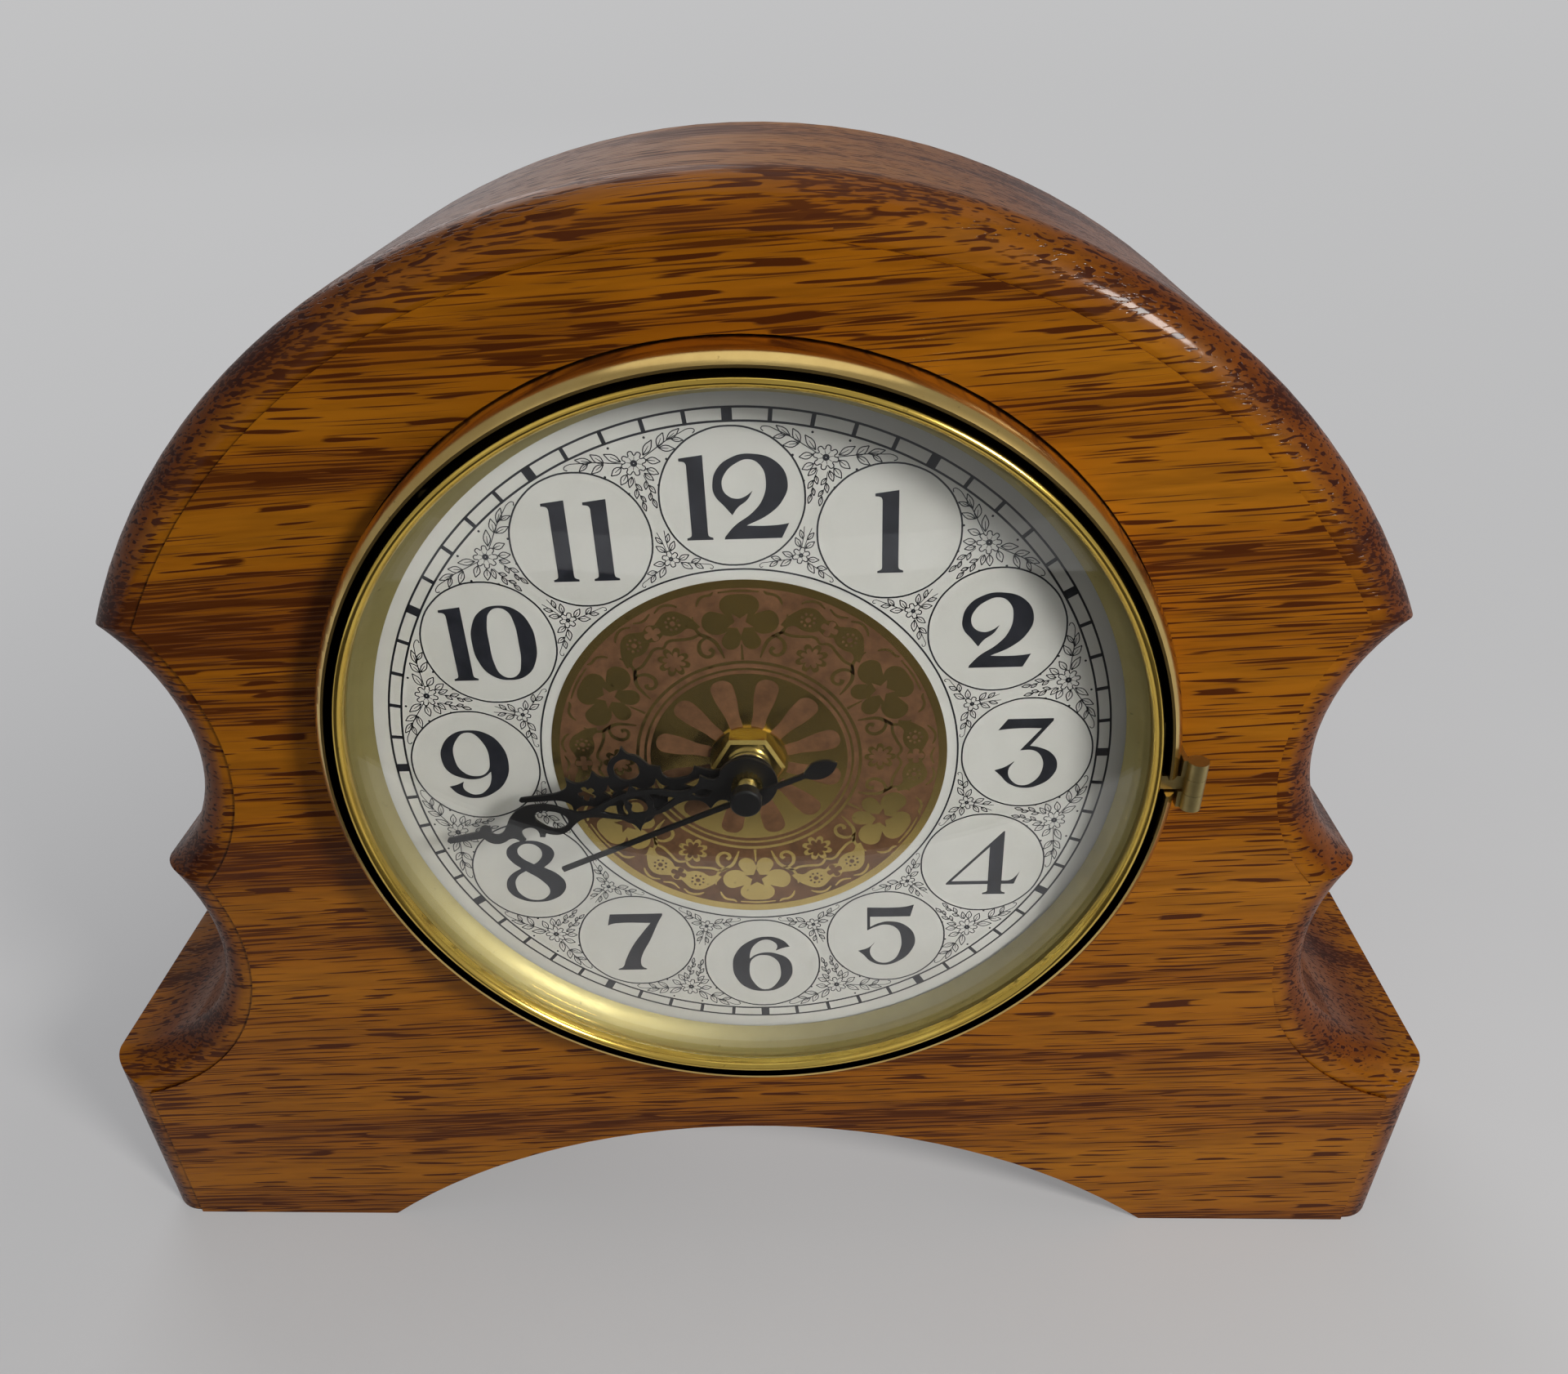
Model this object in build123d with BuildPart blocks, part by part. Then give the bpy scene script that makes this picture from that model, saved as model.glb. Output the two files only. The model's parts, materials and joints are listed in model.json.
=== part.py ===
from build123d import *
import math
import os

# Oak mantel clock with an arched case, a hinged brass bezel and a quartz movement.
# Millimetres. X to the right, Y to the back, Z up; origin under the middle of the part.
# "Proud" is the distance ahead of the case's front face, "depth" the distance behind
# the front face of the movement.

# Driving dimensions: case outline
case_height = 200.0
base_half_width = 127.0
base_tip_height = 43.0
cusp_half_width = 102.5
cusp_height = 91.5
shoulder_half_width = 100.0
shoulder_height = 138.0
upper_notch_sag = 10.75
lower_notch_sag = 14.7
foot_arch_half_span = 78.0
foot_arch_rise = 28.5

# Driving dimensions: case boards and front moulding
board_thickness = 18.0
board_count = 3
roundover_radius = 6.6
quirk_depth = 0.6
quirk_width = 0.6
movement_bore_clearance = 10.4
dial_height = 115.0

# Driving dimensions: dial pan and dial
pan_outer_radius = 66.0
pan_wall = 2.1
pan_floor = 0.8
pan_rim_proud = 7.2
pan_crest_width = 0.45
pan_shoulder_proud = 4.0
pan_shoulder_sag = 0.42
dial_inset = 1.6
dial_thickness = 0.6
dial_margin = 3.4
pan_screw_count = 4
pan_screw_first_angle = 45.0
pan_screw_radius = 0.7
pan_screw_head_radius = 1.3
pan_screw_head_height = 0.8
pan_screw_length = 9.0

# Driving dimensions: bezel and glass
bezel_pan_gap = 1.0
bezel_wall = 0.8
bezel_lip_width = 1.7
bezel_lip_thickness = 0.6
bezel_crest_proud = 7.4
bezel_crest_width = 0.9
bezel_bead_sag = 0.25
glass_edge_clearance = 0.3
glass_dome_rise = 9.25
glass_thickness = 1.8
glass_edge_proud = 5.2
cove_ring_wall = 2.1
cove_ring_overlap = 1.9
cove_ring_clearance = 0.5
cove_ring_lip_width = 0.7
cove_ring_sag = 0.5

# Driving dimensions: bezel hinge
hinge_height = 8.5
hinge_knuckle_radius = 1.6
hinge_knuckle_height = 2.7
hinge_pin_radius = 0.6
hinge_leaf_thickness = 0.8
hinge_leaf_foot_proud = 0.4
hinge_axis_offset = 2.2
hinge_axis_drop = 1.2
hinge_strap_thickness = 0.4
hinge_strap_half_height = 10.5
hinge_strap_back = 1.2
hinge_strap_front = 5.2
hinge_arm_drop = 0.4
hinge_arm_thickness = 1.0
hinge_arm_half_height = 1.2
hinge_rivet_radius = 0.6
hinge_rivet_proud = 3.2
hinge_rivet_lift = 8.575

# Driving dimensions: movement case and fixings
movement_size = 56.0
movement_corner = 2.0
movement_depth = 16.0
housing_wall = 1.2
cover_thickness = 1.4
middle_plate_thickness = 1.0
middle_plate_width = 22.0
middle_plate_height = 24.5
middle_plate_lift = 3.2
partition_thickness = 1.0
post_radius = 1.1
boss_radius = 1.5
rubber_washer_radius = 8.0
rubber_washer_thickness = 1.0
nut_washer_radius = 6.2
nut_washer_thickness = 0.5
bush_radius = 3.5
bush_proud_of_dial = 4.6
bush_nut_sides = 6
bush_nut_corner_radius = 5.8
bush_nut_thickness = 2.2
bush_nut_chamfer = 0.5

# Driving dimensions: gear train
wheel_thickness = 0.8
layer_gap = 0.5
arbor_radius = 0.4
setting_arbor_radius = 0.8
minute_pipe_radius = 1.5
hour_pipe_radius = 2.4
hour_pipe_beyond_bush = 1.1
minute_pipe_beyond_hour = 3.3
seconds_shaft_beyond_minute = 2.2
third_distance = 7.2
intermediate_distance = 7.5
rotor_distance = 5.25
setting_distance = 8.4
third_direction = 200.0
intermediate_direction = 100.0
rotor_direction = 80.0
setting_direction = 45.0
rotor_magnet_radius = 2.5
knob_radius = 5.0
knob_thickness = 3.8
knob_flute_radius = 0.7
knob_flute_count = 12

# Tooth counts
seconds_teeth = 40
seconds_pinion_teeth = 8
third_teeth = 60
third_pinion_teeth = 8
centre_teeth = 64
intermediate_teeth = 36
intermediate_pinion_teeth = 8
rotor_pinion_teeth = 6
cannon_teeth = 12
setting_teeth = 36
setting_pinion_teeth = 10
hour_teeth = 40

# Tooth shape, as shares of the module and of the tooth pitch
addendum_share = 0.7
dedendum_share = 1.1
tooth_root_share = 0.23
tooth_tip_share = 0.1

# Driving dimensions: electric parts
stator_thickness = 0.8
stator_width = 32.0
stator_band = 7.9
stator_leg_width = 5.0
stator_air_gap = 0.4
coil_lift = 8.0
coil_length = 20.0
coil_radius = 3.4
coil_bore_radius = 1.7
core_length = 28.0
core_width = 3.0
core_thickness = 0.8
board_plate_thickness = 0.8
board_width = 12.0
board_height = 16.0
board_centre_x = 19.5
board_centre_z = -1.0
board_post_spacing = 10.0
battery_radius = 7.25
battery_length = 50.5
battery_nub_radius = 2.6
battery_nub_length = 1.0
contact_size = 8.0
contact_thickness = 0.4
contact_bump_radius = 2.5

# Driving dimensions: hands
hand_thickness = 0.5
hour_hand_angle = 263.5
hour_hand_length_share = 0.6
hour_hand_half_width_share = 0.153
hour_hub_radius_share = 0.137
hour_hand_above_bush = 0.3
minute_hand_angle = 257.2
minute_hand_length_share = 0.815
minute_hand_half_width_share = 0.0725
minute_hub_radius_share = 0.0925
minute_hand_above_hour = 1.0
minute_nut_radius = 2.4
minute_nut_thickness = 1.3
minute_nut_flute_radius = 0.25
minute_nut_flute_count = 18
hand_band = 1.1
hand_pointer_width = 1.2
second_hand_angle = 245.0
second_hand_length_share = 0.534
second_tail_length_share = 0.249
second_hand_width = 0.8
second_leaf_length = 5.6
second_leaf_width = 3.0
second_cap_radius = 2.4
second_cap_height = 2.0
second_cap_gap = 1.2
second_cap_fillet = 0.4

# Clearances and the overrun of cuts
recess_clearance = 0.25
seat_gap = 0.1
running_clearance = 0.05
loose_clearance = 0.3
overrun = 3.0

# Shares of each hand's length (along) and half width (across)
hour_almond_share = 0.305
hour_almond_reach_share = 0.185
hour_almond_spread_share = 0.42
hour_ring_share = 0.5
hour_ring_offset_share = 0.46
hour_ring_radius_share = 0.5
hour_heart_share = 0.655
hour_heart_reach_share = 0.115
hour_heart_spread_share = 0.46
hour_barb_shares = ((0.7, 0.0), (0.775, 0.5), (0.79, 0.2), (0.84, 0.0), (0.79, -0.2), (0.775, -0.5))
hour_crocket_shares = ((0.46, 0.9), (0.5, 1.15), (0.54, 0.9))
minute_almond_shares = ((0.19, 0.11), (0.395, 0.105))
minute_almond_spread_share = 0.56
minute_loop_share = 0.585
minute_loop_reach_share = 0.095
minute_loop_spread_share = 0.75
minute_wave_shares = ((0.66, 0.25), (0.77, 0.0), (0.88, 0.0))
minute_wave_sag_share = 0.4
minute_knob_share = 0.885
minute_spur_shares = ((0.28, 0.35), (0.3, 0.95), (0.33, 0.35))

# Sizes that follow from the driving dimensions
case_depth = board_count * board_thickness
movement_bore_radius = movement_size * math.sqrt(2) / 2 + movement_bore_clearance
pan_inner_radius = pan_outer_radius - pan_wall
dial_radius = pan_inner_radius - dial_margin
bezel_outer_radius = pan_inner_radius - bezel_pan_gap
bezel_inner_radius = bezel_outer_radius - bezel_wall
bezel_lip_radius = bezel_outer_radius - bezel_lip_width
glass_radius = bezel_inner_radius - glass_edge_clearance
glass_dome_radius = (glass_radius**2 + glass_dome_rise**2) / (2 * glass_dome_rise)
hour_hand_length = hour_hand_length_share * dial_radius
hour_hand_half_width = hour_hand_half_width_share * hour_hand_length
hour_hub_radius = hour_hub_radius_share * hour_hand_length
minute_hand_length = minute_hand_length_share * dial_radius
minute_hand_half_width = minute_hand_half_width_share * minute_hand_length
minute_hub_radius = minute_hub_radius_share * minute_hand_length
second_hand_length = second_hand_length_share * dial_radius
second_tail_length = second_tail_length_share * dial_radius

# Places that follow from the driving dimensions
recess_depth = dial_inset + dial_thickness + pan_floor
glass_sphere_rise = math.sqrt(glass_dome_radius**2 - glass_radius**2)
glass_apex_proud = glass_edge_proud + glass_dome_rise
front_y = (glass_apex_proud - case_depth) / 2
movement_front = -recess_depth - rubber_washer_thickness
moulding_inset = roundover_radius + quirk_width
moulding_depth = roundover_radius + quirk_depth

# Levels in the movement, as depths behind its front face
hour_level = housing_wall + layer_gap
motion_level = hour_level + wheel_thickness + layer_gap
plate_level = motion_level + wheel_thickness + layer_gap
centre_level = plate_level + middle_plate_thickness + layer_gap
seconds_level = centre_level + wheel_thickness + layer_gap
third_level = seconds_level + wheel_thickness + layer_gap
intermediate_level = third_level + wheel_thickness + layer_gap
boss_level = intermediate_level + wheel_thickness + layer_gap
arbor_end = (boss_level + movement_depth) / 2
knob_level = movement_depth + cover_thickness + loose_clearance

# Levels of the hands, as proud distances
bush_front = -dial_inset + bush_proud_of_dial
hour_pipe_front = bush_front + hour_pipe_beyond_bush
minute_pipe_front = hour_pipe_front + minute_pipe_beyond_hour
seconds_shaft_front = minute_pipe_front + seconds_shaft_beyond_minute
hour_hand_back = bush_front + hour_hand_above_bush
minute_hand_back = hour_hand_back + hand_thickness + minute_hand_above_hour
minute_nut_back = minute_hand_back + hand_thickness
second_cap_back = minute_pipe_front + second_cap_gap

# Hinge axis, at the pan's right-hand side and a little below its rim
hinge_x = pan_outer_radius + hinge_axis_offset
hinge_proud = pan_rim_proud - hinge_axis_drop
hinge_y = front_y - hinge_proud
strap_outer = bezel_outer_radius + hinge_strap_thickness
hinge_rivet_depth = hinge_strap_thickness + bezel_wall
hinge_rivet_angle = math.degrees(math.asin(hinge_rivet_lift / strap_outer))


def front_plane(proud):
    """Plane ahead of the case front: local x right, local y up, facing the viewer."""
    return Plane(origin=(0, front_y - proud, 0), x_dir=(1, 0, 0), z_dir=(0, -1, 0))


def dial_plane(proud):
    """The same plane with its origin on the dial's axis."""
    return Plane(origin=(0, front_y - proud, dial_height), x_dir=(1, 0, 0), z_dir=(0, -1, 0))


def movement_plane(depth, axis=(0, 0)):
    """Plane at a depth behind the front of the movement, its origin on one of its axes."""
    origin = (axis[0], front_y - movement_front + depth, dial_height + axis[1])
    return Plane(origin=origin, x_dir=(1, 0, 0), z_dir=(0, -1, 0))


def profile_plane(x, z):
    """Plane of a turned profile: local x is the radius, local y is proud."""
    return Plane(origin=(x, front_y, z), x_dir=(1, 0, 0), z_dir=(0, 0, -1))


def hand_plane(proud, angle):
    """Plane of a hand: local x points along the hand, at an angle clockwise from twelve."""
    along = (math.sin(math.radians(angle)), 0, math.cos(math.radians(angle)))
    return Plane(origin=(0, front_y - proud, dial_height), x_dir=along, z_dir=(0, -1, 0))


def hinge_plane(z):
    """Level plane through the hinge axis, a height above the dial's centre."""
    return Plane(origin=(hinge_x, hinge_y, dial_height + z), x_dir=(1, 0, 0), z_dir=(0, 0, 1))


def rivet_planes(radius):
    """Planes of the two hinge rivets, facing outward at a radius from the dial's axis."""
    planes = []
    for turn in (-hinge_rivet_angle, hinge_rivet_angle):
        out = (math.cos(math.radians(turn)), 0, math.sin(math.radians(turn)))
        middle = Plane(origin=(0, front_y - hinge_rivet_proud, dial_height), z_dir=out)
        planes.append(middle.offset(radius))
    return planes


def turning_axis(x, z):
    """Axis towards the viewer through a point of the front face."""
    return Axis((x, front_y, z), (0, -1, 0))


def step_from(point, distance, direction):
    """Point at a distance and a direction, in degrees, from another point."""
    turn = math.radians(direction)
    return (point[0] + distance * math.cos(turn), point[1] + distance * math.sin(turn))


def circle_of(start, end, sag):
    """Centre and radius of the arc from start to end that bows sag to the left of the way."""
    chord_x = end[0] - start[0]
    chord_y = end[1] - start[1]
    chord = math.hypot(chord_x, chord_y)
    radius = (chord * chord / 4 + sag * sag) / (2 * abs(sag))
    back = sag - math.copysign(radius, sag)
    middle_x = (start[0] + end[0]) / 2
    middle_y = (start[1] + end[1]) / 2
    return (middle_x - chord_y / chord * back, middle_y + chord_x / chord * back), radius


def side_points(side):
    """Shoulder tip, cusp and base tip on one side of the case."""
    shoulder = (side * shoulder_half_width, shoulder_height)
    cusp = (side * cusp_half_width, cusp_height)
    tip = (side * base_half_width, base_tip_height)
    return shoulder, cusp, tip


def bowed_arc(start, end, sag):
    """Arc from start to end, through the point that bows sag to the left of the way."""
    chord_x = end[0] - start[0]
    chord_y = end[1] - start[1]
    chord = math.hypot(chord_x, chord_y)
    middle_x = (start[0] + end[0]) / 2 - chord_y / chord * sag
    middle_y = (start[1] + end[1]) / 2 + chord_x / chord * sag
    return ThreePointArc(start, (middle_x, middle_y), end)


def case_outline():
    """Edges of the case outline, with the arch between its feet."""
    with BuildLine() as outline:
        ThreePointArc((-shoulder_half_width, shoulder_height), (0, case_height),
                      (shoulder_half_width, shoulder_height))
        for side in (-1, 1):
            shoulder, cusp, tip = side_points(side)
            bowed_arc(shoulder, cusp, -side * upper_notch_sag)
            bowed_arc(cusp, tip, -side * lower_notch_sag)
            Polyline(tip, (side * base_half_width, 0), (side * foot_arch_half_span, 0))
        ThreePointArc((-foot_arch_half_span, 0), (0, foot_arch_rise), (foot_arch_half_span, 0))
    return outline.edges()


def moulding_edges(radius, inward):
    """Cutter for the roundover and its quirk at a side of the given radius."""
    side_out = radius - inward * overrun
    flat = radius + inward * roundover_radius
    quirk = radius + inward * moulding_inset
    slant = math.sqrt(2) / 2
    bulge = (flat - inward * roundover_radius * slant, -moulding_depth + roundover_radius * slant)
    with BuildLine() as edges:
        Polyline((radius, -moulding_depth), (side_out, -moulding_depth), (side_out, overrun),
                 (quirk, overrun), (quirk, -quirk_depth), (flat, -quirk_depth))
        ThreePointArc((flat, -quirk_depth), bulge, (radius, -moulding_depth))
    return edges.edges()


def gear_edges(teeth, pitch_radius, phase):
    """Outline of a straight-flanked gear with a tooth centred at the phase, in degrees."""
    module = 2 * pitch_radius / teeth
    root = pitch_radius - dedendum_share * module
    tip = pitch_radius + addendum_share * module
    corners = ((root, -tooth_root_share), (tip, -tooth_tip_share),
               (tip, tooth_tip_share), (root, tooth_root_share))
    points = []
    for tooth in range(teeth):
        for radius, share in corners:
            points.append(step_from((0, 0), radius, phase + (tooth + share) * 360 / teeth))
    with BuildLine() as edges:
        Polyline(*points, close=True)
    return edges.edges()


def gap_towards(direction, teeth):
    """Phase that turns a gap between two teeth towards a direction."""
    return direction + 180 / teeth


def pitch_radii(distance, teeth, mate_teeth):
    """Pitch radii of two meshed gears a distance apart."""
    return distance * teeth / (teeth + mate_teeth), distance * mate_teeth / (teeth + mate_teeth)


# Axes of the gear train, from the dial's centre
third_axis = step_from((0, 0), third_distance, third_direction)
intermediate_axis = step_from((0, 0), intermediate_distance, intermediate_direction)
rotor_axis = step_from(intermediate_axis, rotor_distance, rotor_direction)
setting_axis = step_from((0, 0), setting_distance, setting_direction)

# Pitch radii of the meshed pairs
seconds_pinion_pitch, third_pitch = pitch_radii(third_distance, seconds_pinion_teeth, third_teeth)
third_pinion_pitch, centre_pitch = pitch_radii(third_distance, third_pinion_teeth, centre_teeth)
seconds_pitch, intermediate_pinion_pitch = pitch_radii(
    intermediate_distance, seconds_teeth, intermediate_pinion_teeth)
intermediate_pitch, rotor_pinion_pitch = pitch_radii(
    rotor_distance, intermediate_teeth, rotor_pinion_teeth)
cannon_pitch, setting_pitch = pitch_radii(setting_distance, cannon_teeth, setting_teeth)
setting_pinion_pitch, hour_pitch = pitch_radii(setting_distance, setting_pinion_teeth, hour_teeth)

# Places inside the movement
housing_inner = movement_size - 2 * housing_wall
battery_z = -housing_inner / 2 + running_clearance + battery_radius
battery_depth = housing_wall + running_clearance + battery_radius
partition_z = battery_z + battery_radius + loose_clearance + partition_thickness / 2
cover_bottom = partition_z - partition_thickness / 2
coil_z = rotor_axis[1] + coil_lift
leg_x = (stator_width - stator_leg_width) / 2
stator_posts = ((-leg_x, rotor_axis[1]), (leg_x, rotor_axis[1]))
plate_post_x = middle_plate_width / 2 - post_radius
plate_post_z = middle_plate_height / 2 - post_radius
plate_posts = ((-plate_post_x, middle_plate_lift + plate_post_z),
               (plate_post_x, middle_plate_lift - plate_post_z))
board_posts = ((board_centre_x, board_centre_z - board_post_spacing / 2),
               (board_centre_x, board_centre_z + board_post_spacing / 2))
screw_circle = (dial_radius + pan_inner_radius) / 2
screw_places = PolarLocations(screw_circle, pan_screw_count, pan_screw_first_angle)

# Front board of the case, moulded round its front edge and bored for the dial pan
arch_centre, arch_radius = circle_of((-shoulder_half_width, shoulder_height),
                                     (shoulder_half_width, shoulder_height),
                                     case_height - shoulder_height)
with BuildPart() as case_front_board:
    with BuildSketch(front_plane(-board_thickness)):
        make_face(case_outline())
    extrude(amount=board_thickness)
    with BuildSketch(profile_plane(*arch_centre)):
        make_face(moulding_edges(arch_radius, -1))
    revolve(axis=turning_axis(*arch_centre), revolution_arc=180, mode=Mode.SUBTRACT)
    for side in (-1, 1):
        shoulder, cusp, tip = side_points(side)
        for start, end, sag in ((shoulder, cusp, upper_notch_sag), (cusp, tip, lower_notch_sag)):
            notch_centre, notch_radius = circle_of(start, end, -side * sag)
            with BuildSketch(profile_plane(*notch_centre)):
                make_face(moulding_edges(notch_radius, 1))
            revolve(axis=turning_axis(*notch_centre), mode=Mode.SUBTRACT)
        with BuildSketch(profile_plane(0, -overrun)):
            make_face(moulding_edges(side * base_half_width, -side))
        extrude(amount=-(base_tip_height + 2 * overrun), mode=Mode.SUBTRACT)
    with BuildSketch(dial_plane(-recess_depth)):
        Circle(pan_outer_radius + recess_clearance)
    extrude(amount=recess_depth + overrun, mode=Mode.SUBTRACT)
    with BuildSketch(dial_plane(-board_thickness - overrun)):
        Circle(movement_bore_radius)
    extrude(amount=board_thickness + overrun, mode=Mode.SUBTRACT)
    with BuildSketch(dial_plane(-recess_depth)):
        with screw_places:
            Circle(pan_screw_radius)
    extrude(amount=pan_floor - pan_screw_length, mode=Mode.SUBTRACT)

# Middle and rear boards, plain copies of the outline with the same bore
with BuildPart() as case_middle_board:
    with BuildSketch(front_plane(-2 * board_thickness)):
        make_face(case_outline())
        with Locations((0, dial_height)):
            Circle(movement_bore_radius, mode=Mode.SUBTRACT)
    extrude(amount=board_thickness)

with BuildPart() as case_rear_board:
    with BuildSketch(front_plane(-case_depth)):
        make_face(case_outline())
        with Locations((0, dial_height)):
            Circle(movement_bore_radius, mode=Mode.SUBTRACT)
    extrude(amount=case_depth - 2 * board_thickness)

# Brass pan with a standing wall, slotted for the hinge arm
slot_half_height = hinge_arm_half_height + loose_clearance
slot_floor = hinge_proud - hinge_arm_drop - hinge_arm_thickness - 2 * loose_clearance
with BuildPart() as dial_pan:
    with BuildSketch(dial_plane(-recess_depth)):
        Circle(pan_outer_radius)
        Circle(bush_radius, mode=Mode.SUBTRACT)
        with screw_places:
            Circle(pan_screw_radius, mode=Mode.SUBTRACT)
    extrude(amount=pan_floor)
    with BuildSketch(profile_plane(0, dial_height)):
        with BuildLine():
            crest_outer = (pan_inner_radius + pan_crest_width, pan_rim_proud)
            shoulder = (pan_outer_radius, pan_shoulder_proud)
            bowed_arc(crest_outer, shoulder, pan_shoulder_sag)
            Polyline(crest_outer, (pan_inner_radius, pan_rim_proud), (pan_inner_radius, -recess_depth),
                     (pan_outer_radius, -recess_depth), shoulder)
        make_face()
    revolve(axis=turning_axis(0, dial_height))
    with BuildSketch(dial_plane(slot_floor)):
        with Locations((pan_outer_radius, 0)):
            Rectangle(2 * pan_wall + 2 * overrun, 2 * slot_half_height)
    extrude(amount=pan_rim_proud, mode=Mode.SUBTRACT)

# Round-headed screws that hold the pan to the front board
with BuildPart() as pan_screws:
    with BuildSketch(dial_plane(-recess_depth + pan_floor)):
        with screw_places:
            Circle(pan_screw_radius)
    extrude(amount=-pan_screw_length)
    with BuildSketch(dial_plane(-recess_depth + pan_floor)):
        with screw_places:
            Circle(pan_screw_head_radius)
    extrude(amount=pan_screw_head_height)
    head_edges = pan_screws.edges().group_by(Axis.Y)[0]
    fillet(head_edges, pan_screw_head_height / 2)

# Printed dial plate
with BuildPart() as dial_plate:
    with BuildSketch(dial_plane(-dial_inset - dial_thickness)):
        Circle(dial_radius)
        Circle(bush_radius, mode=Mode.SUBTRACT)
    extrude(amount=dial_thickness)


def glass_rise(radius):
    """Height of the glass's outer face at a radius, above its edge."""
    return math.sqrt(glass_dome_radius**2 - radius**2) - glass_sphere_rise


# Domed glass
inner_dome_radius = glass_dome_radius - glass_thickness
dome_centre = glass_edge_proud - glass_sphere_rise
with BuildPart() as bezel_glass:
    with BuildSketch(profile_plane(0, dial_height)):
        with BuildLine():
            outer_middle = (glass_radius / 2, glass_edge_proud + glass_rise(glass_radius / 2))
            inner_apex = dome_centre + inner_dome_radius
            inner_edge = dome_centre + math.sqrt(inner_dome_radius**2 - glass_radius**2)
            inner_rise = math.sqrt(inner_dome_radius**2 - (glass_radius / 2)**2)
            inner_middle = (glass_radius / 2, dome_centre + inner_rise)
            ThreePointArc((0, glass_apex_proud), outer_middle, (glass_radius, glass_edge_proud))
            Line((glass_radius, glass_edge_proud), (glass_radius, inner_edge))
            ThreePointArc((glass_radius, inner_edge), inner_middle, (0, inner_apex))
            Line((0, inner_apex), (0, glass_apex_proud))
        make_face()
    revolve(axis=turning_axis(0, dial_height))

# Bezel ring: an outer wall, a rounded bead and a narrow lip over the glass
cove_ring_front = inner_edge - seat_gap
bezel_back = cove_ring_front - cove_ring_wall
lip_seat = glass_edge_proud + glass_rise(bezel_lip_radius) + seat_gap
wall_seat = glass_edge_proud + glass_rise(bezel_inner_radius) + seat_gap
crest_radius = bezel_outer_radius - bezel_crest_width
lip_top = lip_seat + bezel_lip_thickness
with BuildPart() as bezel_ring:
    with BuildSketch(profile_plane(0, dial_height)):
        with BuildLine():
            shoulder_proud = bezel_crest_proud - bezel_crest_width
            crest_slant = bezel_crest_width * math.sqrt(2) / 2
            crest_middle = (crest_radius + crest_slant, shoulder_proud + crest_slant)
            ThreePointArc((bezel_outer_radius, shoulder_proud), crest_middle,
                          (crest_radius, bezel_crest_proud))
            bowed_arc((bezel_lip_radius, lip_top), (crest_radius, bezel_crest_proud), bezel_bead_sag)
            Polyline((bezel_lip_radius, lip_top), (bezel_lip_radius, lip_seat),
                     (bezel_inner_radius, wall_seat), (bezel_inner_radius, bezel_back),
                     (bezel_outer_radius, bezel_back), (bezel_outer_radius, shoulder_proud))
        make_face()
    revolve(axis=turning_axis(0, dial_height))
    for rivet_plane in rivet_planes(strap_outer):
        with BuildSketch(rivet_plane):
            Circle(hinge_rivet_radius)
        extrude(amount=-hinge_rivet_depth, mode=Mode.SUBTRACT)

# Coved ring that keeps the glass in the bezel and runs down to the dial
cove_foot_radius = dial_radius - cove_ring_overlap
cove_foot_proud = cove_ring_clearance - dial_inset
with BuildPart() as glass_cove_ring:
    with BuildSketch(profile_plane(0, dial_height)):
        with BuildLine():
            cove_top = (bezel_lip_radius, cove_ring_front)
            cove_foot = (cove_foot_radius, cove_foot_proud)
            bowed_arc(cove_top, cove_foot, cove_ring_sag)
            Polyline(cove_foot, (cove_foot_radius + cove_ring_lip_width, cove_foot_proud),
                     (bezel_inner_radius, bezel_back), (bezel_inner_radius, cove_ring_front), cove_top)
        make_face()
    revolve(axis=turning_axis(0, dial_height))

# Hinge leaf fixed to the pan, with an upper and a lower knuckle
leaf_foot_y = hinge_proud - hinge_leaf_foot_proud
with BuildPart() as pan_hinge_leaf:
    with BuildSketch(hinge_plane(-hinge_height / 2)):
        Circle(hinge_knuckle_radius)
        with Locations((-hinge_axis_offset, 0)):
            Rectangle(hinge_leaf_thickness, leaf_foot_y, align=(Align.MIN, Align.MIN))
    extrude(amount=hinge_height)
    with BuildSketch(hinge_plane(-hinge_knuckle_height / 2 - running_clearance)):
        Circle(hinge_knuckle_radius + loose_clearance)
        with Locations((-hinge_axis_offset, -overrun)):
            Rectangle(hinge_axis_offset, hinge_proud - slot_floor + overrun,
                      align=(Align.MIN, Align.MIN))
    extrude(amount=hinge_knuckle_height + 2 * running_clearance, mode=Mode.SUBTRACT)
    with BuildSketch(hinge_plane(-hinge_height / 2)):
        Circle(hinge_pin_radius)
    extrude(amount=hinge_height, mode=Mode.SUBTRACT)

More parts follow.
